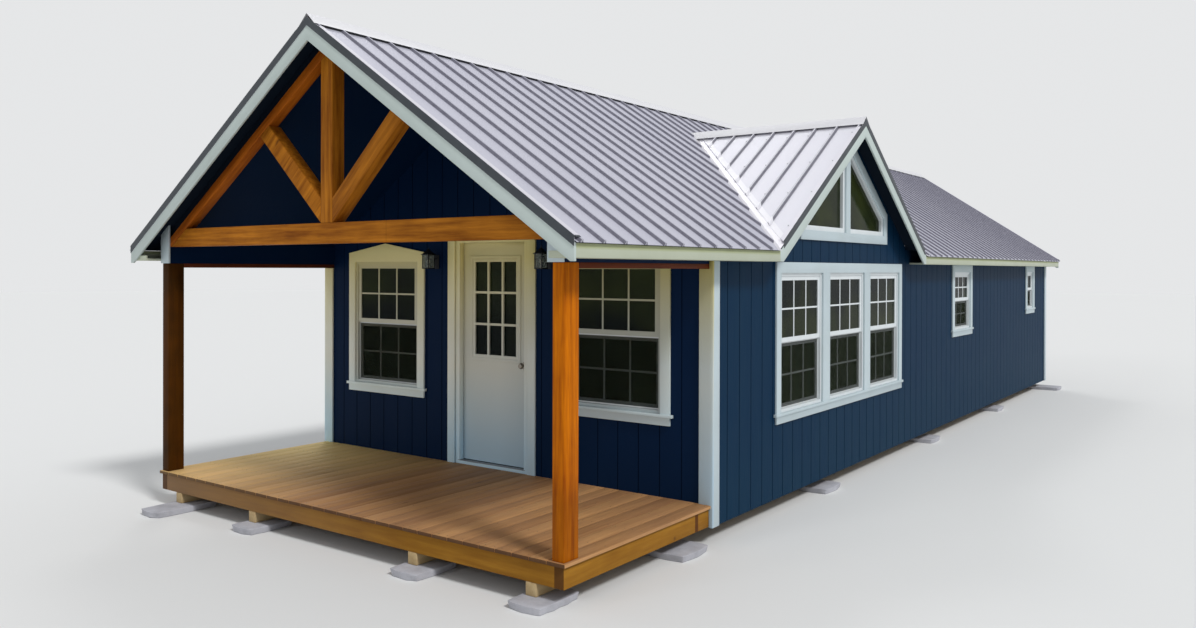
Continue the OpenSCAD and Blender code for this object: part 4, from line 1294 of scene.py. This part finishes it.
@dataclass
class Shell(Assembly):
    """Walls with their grooved siding, and the painted trim."""

    groove: float = 0.008
    depth: float = 0.006
    proud: float = 0.02
    over: float = 0.05
    edge: float = 0.0025
    frame_edge: float = 0.002

    def build(self) -> None:
        """Dresses the walls, corner boards and casings."""
        for across, face, *nodes in (
                (0, PLAN.front, "front_wall_left", "front_wall_right", "front_gable_wall"),
                (0, PLAN.back, "back_wall"), (1, -PLAN.side, "left_wall"),
                (1, PLAN.side, "right_wall", "dormer_gable_wall")):
            for node in nodes:
                self.grooved(node, across, face)
        white = self.palette.coat(Coat.WHITE_TRIM_UPRIGHT)
        self.rounded(self.edge, white, "white_paint", "corner_boards", "window_casings", "door_casing")
        self.rounded(self.frame_edge, white, "white_paint", "door_frame")

    def grooved(self, node: str, across: int, face: float) -> None:
        """Cuts the upright grooves of the siding into a copy of a wall.

        Args:
            node: The wall's node.
            across: The axis along the wall, x (0) or y (1).
            face: The place of the siding's face on the other axis.
        """
        low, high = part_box(node)
        out = math.copysign(1, face)
        spans = {1 - across: sorted((face - out * self.depth, face + out * self.proud)),
                 2: (low.z - self.over, high.z + self.over)}
        bars = []
        for number in range(math.ceil(low[across] / PLAN.panel), math.floor(high[across] / PLAN.panel) + 1):
            middle = number * PLAN.panel
            spans[across] = (middle - self.groove / 2, middle + self.groove / 2)
            bars.append(block("groove", *zip(*(spans[axis] for axis in range(3)))))
        cutter = join("grooves", bars)
        wall = self.copied(node, f"{node}_grooved")
        modify(wall, "BOOLEAN", operation="DIFFERENCE", solver="EXACT", object=cutter)
        bpy.data.objects.remove(cutter)
        coat = Coat.NAVY_SIDING_Y if across else Coat.NAVY_SIDING_X
        self.finish(wall, self.palette.coat(coat), "navy_paint", node)


class Slope(Enum):
    """A slope of the roof: whether it is on the cross gable, and its turn from the right slope."""

    RIGHT = (False, 0.0)
    LEFT = (False, math.pi)
    CROSS_BACK = (True, math.pi / 2)
    CROSS_FRONT = (True, -math.pi / 2)


@dataclass
class Roof(Assembly):
    """Roof metal, its screws and closures, and the boards at its edges.

    Sizes of two numbers are a disc's radius and height, the inner and outer reach of a cap's edges
    from its ridge, and the gaps under and over the foam.
    """

    pitch: float = math.atan(PLAN.slope)
    ridge_z: float = 3.9514
    screw_rows: tuple[float, ...] = (0.22, 0.8, 1.38, 1.96, 2.54, 2.94)
    beside: float = 0.034
    margin: float = 0.11
    sheet: float = 0.003
    rib_top: float = 0.022
    cap: float = 0.108
    cap_reach: Span = (0.1, 0.2)
    cap_edge: float = 0.0008
    narrow: float = 0.035
    trim: float = 0.002
    lap: float = 0.0004
    edge: float = 0.0025
    washer: Span = (0.0075, 0.0015)
    head: Span = (0.0045, 0.0045)
    head_z: float = 0.0012
    top_gap: float = 0.2
    last_row: float = 2.25
    foam_back: float = 0.032
    foam_half: float = 0.012
    foam_side: float = 0.019
    foam_z: Span = (0.0002, 0.0015)
    flare: float = 0.02

    def build(self) -> None:
        """Dresses the roof."""
        coat, wood = self.palette.coat, self.palette.wood
        self.paint(coat(Coat.RIBBED_STEEL), "roof_sheets")
        self.caps()
        self.paint(coat(Coat.VALLEY_STEEL), "valley_flashing")
        low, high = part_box("rake_trims")
        trim = TrimMetal(low.y + self.trim, high.y - self.trim, PLAN.eave + self.lap)
        self.paint(self.palette.get("dark_trim", trim), "rake_trims")
        self.rounded(self.edge, coat(Coat.CREAM_FASCIA), "cream_paint", "eave_fascias")
        self.rounded(self.edge, coat(Coat.PALE_RAKE), "cream_paint", "rake_boards")
        self.paint(wood(Wood.ROOF_PINE, Grain.RISING), "rafters")
        self.paint(wood(Wood.ROOF_PINE, Grain.LENGTH), "ridge_boards", "roof_sheathing")
        self.paint(wood(Wood.ROOF_PINE, Grain.ACROSS), "dormer_frames")
        self.screws()
        self.closures()

    def caps(self) -> None:
        """Narrows and rounds the ridge caps."""
        piece = self.copied("ridge_caps", "ridge_cap_sheets")
        inner, outer = self.cap_reach
        for vertex in piece.data.vertices:
            x, y = vertex.co.x, vertex.co.y - PLAN.cross_y
            if abs(x) < outer:
                if abs(x) > inner:
                    vertex.co.x -= math.copysign(self.narrow, x)
                    vertex.co.z += self.narrow * PLAN.slope
            elif abs(y) > inner:
                vertex.co.y -= math.copysign(self.narrow, y)
                vertex.co.z += self.narrow * PLAN.slope
                vertex.co.x -= self.narrow if x < 1 else 0
        soften(piece, self.cap_edge, 1)
        self.finish(piece, self.palette.coat(Coat.CAP_STEEL), "roof_metal", "ridge_caps")

    def spot(self, slope: Slope, run: float, along: float) -> Matrix:
        """Gives a place on the metal of a slope, with z square to it.

        Args:
            slope: The slope.
            run: The distance down the slope from the ridge.
            along: The distance along the ridge, y on the main roof and x on the cross gable.

        Returns:
            The place as a matrix.
        """
        cross, turn = slope.value
        top = (along, PLAN.cross_y, self.ridge_z - PLAN.cross_drop) if cross else (0, along, self.ridge_z)
        return (Matrix.Translation(top) @ Matrix.Rotation(turn, 4, "Z") @ Matrix.Rotation(self.pitch, 4, "Y")
                @ Matrix.Translation((run, 0, self.sheet)))

    def screws(self) -> None:
        """Drives the roof screws: a washer and a six-sided head beside each rib, in rows."""
        washer = disc("washer", (0, 0, 0), *self.washer, 10, taper=0.85)
        head = disc("head", (0, 0, self.head_z), *self.head, 6, taper=0.82)
        model = join("roof_screw", [washer, head])
        shrink = math.cos(self.pitch)
        places = []
        for number in range(PLAN.ribs - 1):
            y = PLAN.first_rib + number * PLAN.rib_pitch + self.beside
            for run in self.screw_rows:
                places.append(self.spot(Slope.LEFT, run, y))
                valley = run * shrink - PLAN.valley_x
                if valley < 0 or abs(y - PLAN.cross_y) > valley + self.margin:
                    places.append(self.spot(Slope.RIGHT, run, y))
        x = PLAN.eave - PLAN.last_rib - self.beside
        while x > PLAN.valley_x + self.top_gap:
            for slope in (Slope.CROSS_BACK, Slope.CROSS_FRONT):
                for run in self.screw_rows:
                    if run * shrink < x - PLAN.valley_x - self.margin and run < self.last_row:
                        places.append(self.spot(slope, run, x))
            x -= PLAN.cross_pitch
        screws = spread("roof_screws", model, places)
        self.finish(screws, self.palette.coat(Coat.SCREW_STEEL), "roof_metal")

    def closures(self) -> None:
        """Packs foam between the ribs under the edges of the ridge caps."""
        places = []
        for number in range(PLAN.ribs - 1):
            y = PLAN.first_rib + (number + 0.5) * PLAN.rib_pitch
            for slope in (Slope.RIGHT, Slope.LEFT):
                if slope is Slope.LEFT or abs(y - PLAN.cross_y) > self.cap_reach[0]:
                    places.append(self.spot(slope, self.cap - self.foam_back, y))
        half, head = PLAN.rib_pitch / 2 - self.foam_side, self.rib_top - self.sheet - self.foam_z[1]
        model = block("foam", (-self.foam_half, -half, self.foam_z[0]), (self.foam_half, half, head))
        with editing(model, lambda point: point.z > head / 2):
            bpy.ops.transform.resize(value=(1, 1 + self.flare / PLAN.rib_pitch, 1), center_override=(0, 0, 0))
        self.finish(spread("ridge_closures", model, places), self.palette.coat(Coat.DARK_SEAL), "dark_metal")


class Wall(Enum):
    """The wall that a window is in: the direction outwards, and how far out the siding's face is."""

    FRONT = (0, -1, -PLAN.front)
    BACK = (0, 1, PLAN.back)
    RIGHT = (1, 0, PLAN.side)
    LEFT = (-1, 0, PLAN.side)


@dataclass(frozen=True)
class Opening:
    """A window: its wall, the middle of its head, its width and height and its lights."""

    wall: Wall
    along: float
    head: float
    size: Span
    columns: int = 3
    rows: int = 2

    def point(self, across: float, up: float, out: float) -> Vector:
        """Turns a point of the window's own frame into the cabin's.

        Args:
            across: The distance to the right of the middle, seen from outside.
            up: The height over the head.
            out: The distance out of the siding's face.

        Returns:
            The point in the cabin's frame.
        """
        x, y, face = self.wall.value
        return Vector((x * (face + out) + abs(y) * self.along - y * across,
                       y * (face + out) + abs(x) * self.along + x * across, self.head + up))

    def block(self, name: str, low: Point, high: Point) -> Piece:
        """Adds a board given in the window's own frame."""
        ends = list(zip(self.point(*low), self.point(*high)))
        return block(name, [min(pair) for pair in ends], [max(pair) for pair in ends])


@dataclass
class Windows(Assembly):
    """Grilles, insect screens and glass of the windows. Faces are measured from the siding's face."""

    lip: float = 0.026
    sash: float = 0.04
    bar: float = 0.016
    bar_depth: Span = (0.006, 0.0056)
    sash_faces: Span = (-0.0205, -0.0445)
    screen_edge: float = 0.011
    screen_faces: Span = (-0.0335, -0.0265)
    cloth_faces: Span = (-0.0302, -0.0298)
    play: float = 0.001
    bar_edge: float = 0.0012
    frame_edge: float = 0.001
    side_head: float = 2.087
    front_head: float = 2.184
    large: Span = (0.914, 1.219)
    middle: Span = (0.762, 0.762)
    small: Span = (0.457, 0.61)
    triple: float = 1.078
    porch_x: float = 1.385
    middle_y: float = 1.7235
    small_y: float = 5.8355

    def build(self) -> None:
        """Dresses the windows."""
        coat, head = self.palette.coat, self.side_head
        self.paint(coat(Coat.WHITE_VINYL), "window_frames")
        self.paint(coat(Coat.WINDOW_PANE), "window_glass")
        places = [Opening(Wall.RIGHT, PLAN.cross_y + step * self.triple, head, self.large)
                  for step in (-1, 0, 1)]
        places += [Opening(Wall.FRONT, x, self.front_head, self.large) for x in (-self.porch_x, self.porch_x)]
        places += [Opening(wall, self.middle_y, head, self.middle) for wall in (Wall.RIGHT, Wall.LEFT)]
        places.append(Opening(Wall.LEFT, PLAN.cross_y, head, self.large))
        places.append(Opening(Wall.BACK, 0.0, head, self.large))
        places += [Opening(wall, self.small_y, head, self.small, 1, 1) for wall in (Wall.RIGHT, Wall.LEFT)]
        grilles = join("window_grilles", [bar for place in places for bar in self.grille(place)])
        soften(grilles, self.bar_edge, 1)
        self.finish(grilles, coat(Coat.WHITE_VINYL), "vinyl")
        frames: list[Piece] = []
        cloths: list[Piece] = []
        for place in places:
            self.screen(place, frames, cloths)
        trim = join("screen_frames", frames)
        soften(trim, self.frame_edge, 1)
        self.finish(trim, coat(Coat.SCREEN_FRAME), "vinyl")
        self.finish(join("screen_cloths", cloths), coat(Coat.SCREEN_CLOTH), "dark_metal")

    def grille(self, place: Opening) -> list[Piece]:
        """Makes the glazing bars of both sashes of one window.

        Args:
            place: The window.

        Returns:
            The bars, not yet joined.
        """
        width, height = place.size
        inset = self.lip + self.sash
        left, right = inset - width / 2, width / 2 - inset
        half, (upright, level) = self.bar / 2, self.bar_depth
        bars = []
        for low, high, face in ((self.sash - height / 2, -inset, self.sash_faces[0]),
                                (inset - height, -self.sash - height / 2, self.sash_faces[1])):
            for number in range(1, place.columns):
                u = left + (right - left) * number / place.columns
                bars.append(place.block("bar", (u - half, low, face), (u + half, high, face + upright)))
            for number in range(1, place.rows):
                v = low + (high - low) * number / place.rows
                bars.append(place.block("bar", (left, v - half, face), (right, v + half, face + level)))
        return bars

    def screen(self, place: Opening, frames: list[Piece], cloths: list[Piece]) -> None:
        """Makes the insect screen over the lower sash.

        Args:
            place: The window.
            frames: Collects the bars of the screen's frame.
            cloths: Collects the cloth.
        """
        width, height = place.size
        half = width / 2 - self.lip - self.play
        low, high = self.lip - height + self.play, -height / 2 - self.play
        edge, tuck, (back, face) = self.screen_edge, self.screen_edge * 0.8, self.screen_faces
        for a, b in (((-half, low), (-half + edge, high)), ((half - edge, low), (half, high)),
                     ((-half, low), (half, low + edge)), ((-half, high - edge), (half, high))):
            frames.append(place.block("edge", (*a, back), (*b, face)))
        cloths.append(place.block("cloth", (-half + tuck, low + tuck, self.cloth_faces[0]),
                                  (half - tuck, high - tuck, self.cloth_faces[1])))


@dataclass
class FrontDoor(Assembly):
    """The slab, its nine lights, hinges and knob. The bars lie on both sides of the glass."""

    body: str = "door"
    light_x: Span = (-0.265, 0.295)
    light_z: Span = (1.297, 2.211)
    face: float = -5.0625
    slab_edge: float = 0.002
    bars: tuple[Span, Span] = ((-0.004, 0.014), (0.03, 0.048))
    moulding: float = 0.03
    bar: float = 0.022
    bar_edge: float = 0.003

    def build(self) -> None:
        """Dresses the door."""
        coat = self.palette.coat
        self.rounded(self.slab_edge, coat(Coat.DOOR_PAINT), "door_paint", "door_slab")
        self.paint(coat(Coat.WINDOW_PANE), "door_glass")
        self.paint(coat(Coat.SATIN_NICKEL), "door_knob", "door_hinges", "frame_hinges")
        sides = []
        for near, far in self.bars:
            low, high = zip(self.light_x, (self.face + near, self.face + far), self.light_z)
            sides.append(lattice("bars", low, high, (3, 3), self.bar, self.moulding))
        piece = join("door_light_bars", sides)
        soften(piece, self.bar_edge)
        self.finish(piece, coat(Coat.DOOR_PAINT), "door_paint")


@dataclass
class Doorway(Assembly):
    """The metal threshold and the seal under the door. Rim and seal are given by width and height."""

    left: float = -0.3945
    right: float = 0.4245
    front: float = -5.1275
    slab: float = -5.0705
    top: float = 0.333
    sunk: float = 0.001
    plate: float = 0.003
    gap: float = 0.004
    rim: Span = (0.008, 0.0012)
    plate_edge: float = 0.0008
    seal: Span = (0.05, 0.0008)
    seal_edge: float = 0.0004

    def build(self) -> None:
        """Dresses the sill."""
        foot = self.top - self.sunk
        plate = block("threshold", (self.left, self.front, foot),
                      (self.right, self.slab - self.gap, self.top + self.plate))
        with editing(plate, lambda point: point.z > self.top, Select.FACES):
            bpy.ops.mesh.inset(thickness=self.rim[0], depth=self.rim[1])
        soften(plate, self.plate_edge)
        self.finish(plate, self.palette.coat(Coat.THRESHOLD_METAL), "nickel")
        seal = block("threshold_seal", (self.left, self.slab, foot),
                     (self.right, self.slab + self.seal[0], self.top + self.seal[1]))
        soften(seal, self.seal_edge, 1)
        self.finish(seal, self.palette.coat(Coat.DARK_SEAL), "dark_metal")


@dataclass
class Lanterns(Assembly):
    """The wall lanterns beside the door. A socket has a radius and a height."""

    places: Span = (-0.67875, 0.69375)
    out: float = 0.11
    foot: float = 2.116
    height: float = 0.13
    base: float = 0.0078
    tuck: float = 0.0002
    side: float = 0.084
    wall: float = 0.004
    corner: float = 0.0045
    glass: float = 0.002
    glass_edge: float = 0.0004
    socket: Span = (0.012, 0.026)
    globe: float = 0.019
    globe_z: float = 0.06
    neck_z: float = 0.052
    neck: Point = (0.72, 0.72, 2.1)

    def build(self) -> None:
        """Dresses the lanterns."""
        self.paint(self.palette.coat(Coat.LANTERN_BLACK), "lanterns")
        panes, bulbs = [], []
        half = self.side / 2 - self.wall
        y = PLAN.front - self.out
        low, high = self.foot + self.base, self.foot + self.height + self.tuck
        for x in self.places:
            for turn in range(4):
                pane = block("pane", (x - half + self.corner, y - half - self.glass / 2, low),
                             (x + half - self.corner, y - half + self.glass / 2, high))
                spin = Matrix.Rotation(turn * math.pi / 2, 4, "Z")
                pane.data.transform(Matrix.Translation((x, y, 0)) @ spin @ Matrix.Translation((-x, -y, 0)))
                panes.append(pane)
            bulbs.append(self.bulb(x, y, low))
        glass = join("lantern_panes", panes)
        soften(glass, self.glass_edge, 1)
        self.finish(glass, self.palette.coat(Coat.LANTERN_GLASS), "lantern_black")
        bulb = join("lantern_bulbs", bulbs)
        smooth(bulb, SHARP)
        self.finish(bulb, self.palette.coat(Coat.FROSTED_BULB), "lantern_black")

    def bulb(self, x: float, y: float, low: float) -> Piece:
        """Makes a socket with a pear-shaped bulb.

        Args:
            x: The lantern's place across the porch.
            y: Its place along the cabin.
            low: The height of its floor.

        Returns:
            The socket and bulb as one piece.
        """
        socket = disc("socket", (x, y, low), *self.socket, 16, taper=0.9)
        clear()
        bpy.ops.mesh.primitive_uv_sphere_add(segments=20, ring_count=12, radius=self.globe,
                                             location=(x, y, low + self.globe_z))
        globe, neck = settle(), low + self.neck_z
        with editing(globe, lambda point: point.z < neck):
            bpy.ops.transform.resize(value=self.neck, center_override=(x, y, neck))
        return join("bulb", [globe, socket])


@dataclass
class Studio:
    """Floor, lights and camera. Each sun has its turn from the front, its height and its strength."""

    eye: Point = (5.892, -11.533, 2.1145)
    aim: Point = (89.79, -0.14, 35.94)
    lens: float = 28.63
    shift: Span = (-0.0023, -0.0344)
    suns: tuple[tuple[str, float, float, float], ...] = (
        ("key", 76.0, 47.0, 1.8), ("fill", -20.0, 25.0, 0.2), ("rim", 227.0, 50.0, 0.26))
    softness: float = 12.0
    floor_tone: Colour = (0.8, 0.8, 0.79, 1.0)
    floor_reach: float = 90.0
    sensor: float = 36.0
    far: float = 500.0
    light: tuple[Colour, float] = ((0.93, 0.96, 1.0, 1.0), 0.5)
    backdrop: tuple[Colour, float] = ((0.9, 0.91, 0.92, 1.0), 0.875)

    def build(self) -> None:
        """Sets the scene round the cabin."""
        self.floor()
        self.sky()
        self.lamps()
        self.camera()

    def floor(self) -> None:
        """Lays the pale floor."""
        clear()
        bpy.ops.mesh.primitive_circle_add(vertices=96, radius=self.floor_reach, fill_type="NGON",
                                          location=(0, 0, 0))
        piece = bpy.context.object
        piece.name = "studio_floor"
        sheet = Sheet("studio_floor")
        sheet.look(Base_Color=self.floor_tone, Roughness=0.9, Specular_IOR_Level=0.1)
        piece.data.materials.append(sheet.material)

    def sky(self) -> None:
        """Lights the scene evenly, and shows a pale backdrop to the camera, to metal and to glass."""
        world = bpy.data.worlds.new("studio")
        bpy.context.scene.world = world
        nodes = Nodes(world)
        rays = nodes.node("ShaderNodeLightPath", {}, {}).outputs
        through = nodes.maths("MAXIMUM", rays["Is Transmission Ray"], rays["Is Glossy Ray"])
        seen = nodes.maths("MAXIMUM", rays["Is Camera Ray"], through)
        light, shown = (nodes.node("ShaderNodeBackground", {}, {"Color": colour, "Strength": strength})
                        for colour, strength in (self.light, self.backdrop))
        mixed = nodes.node("ShaderNodeMixShader", {}, {0: seen, 1: light.outputs[0], 2: shown.outputs[0]})
        nodes.node("ShaderNodeOutputWorld", {}, {"Surface": mixed.outputs[0]})

    def lamps(self) -> None:
        """Adds a soft key light from the right, a weak fill from the front and one from behind."""
        for name, turn, height, power in self.suns:
            data = bpy.data.lights.new(name, "SUN")
            data.energy = power
            data.angle = math.radians(self.softness)
            lamp = bpy.data.objects.new(name, data)
            bpy.context.scene.collection.objects.link(lamp)
            a, e = math.radians(turn), math.radians(height)
            source = Vector((math.sin(a) * math.cos(e), -math.cos(a) * math.cos(e), math.sin(e)))
            lamp.rotation_euler = source.to_track_quat("Z", "Y").to_euler()

    def camera(self) -> None:
        """Places the camera at the photograph's view."""
        scene = bpy.context.scene
        data = bpy.data.cameras.new("view")
        data.sensor_width = self.sensor
        data.lens = self.lens
        data.shift_x, data.shift_y = self.shift
        data.clip_end = self.far
        camera = bpy.data.objects.new("view", data)
        scene.collection.objects.link(camera)
        camera.location = self.eye
        camera.rotation_euler = [math.radians(angle) for angle in self.aim]
        scene.camera = camera
        scene.view_settings.view_transform = "Standard"


def main() -> None:
    """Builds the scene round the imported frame."""
    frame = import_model()
    palette = Palette()
    for kind in (Foundation, Porch, Shell, Roof, Windows, FrontDoor, Doorway, Lanterns):
        kind(frame["nodes"], palette).build()
        log.info("%s done", kind.__name__)
    Studio().build()
    clear()
    bpy.context.view_layer.update()


if __name__ == "__main__":
    logging.basicConfig(level=logging.INFO)
    main()
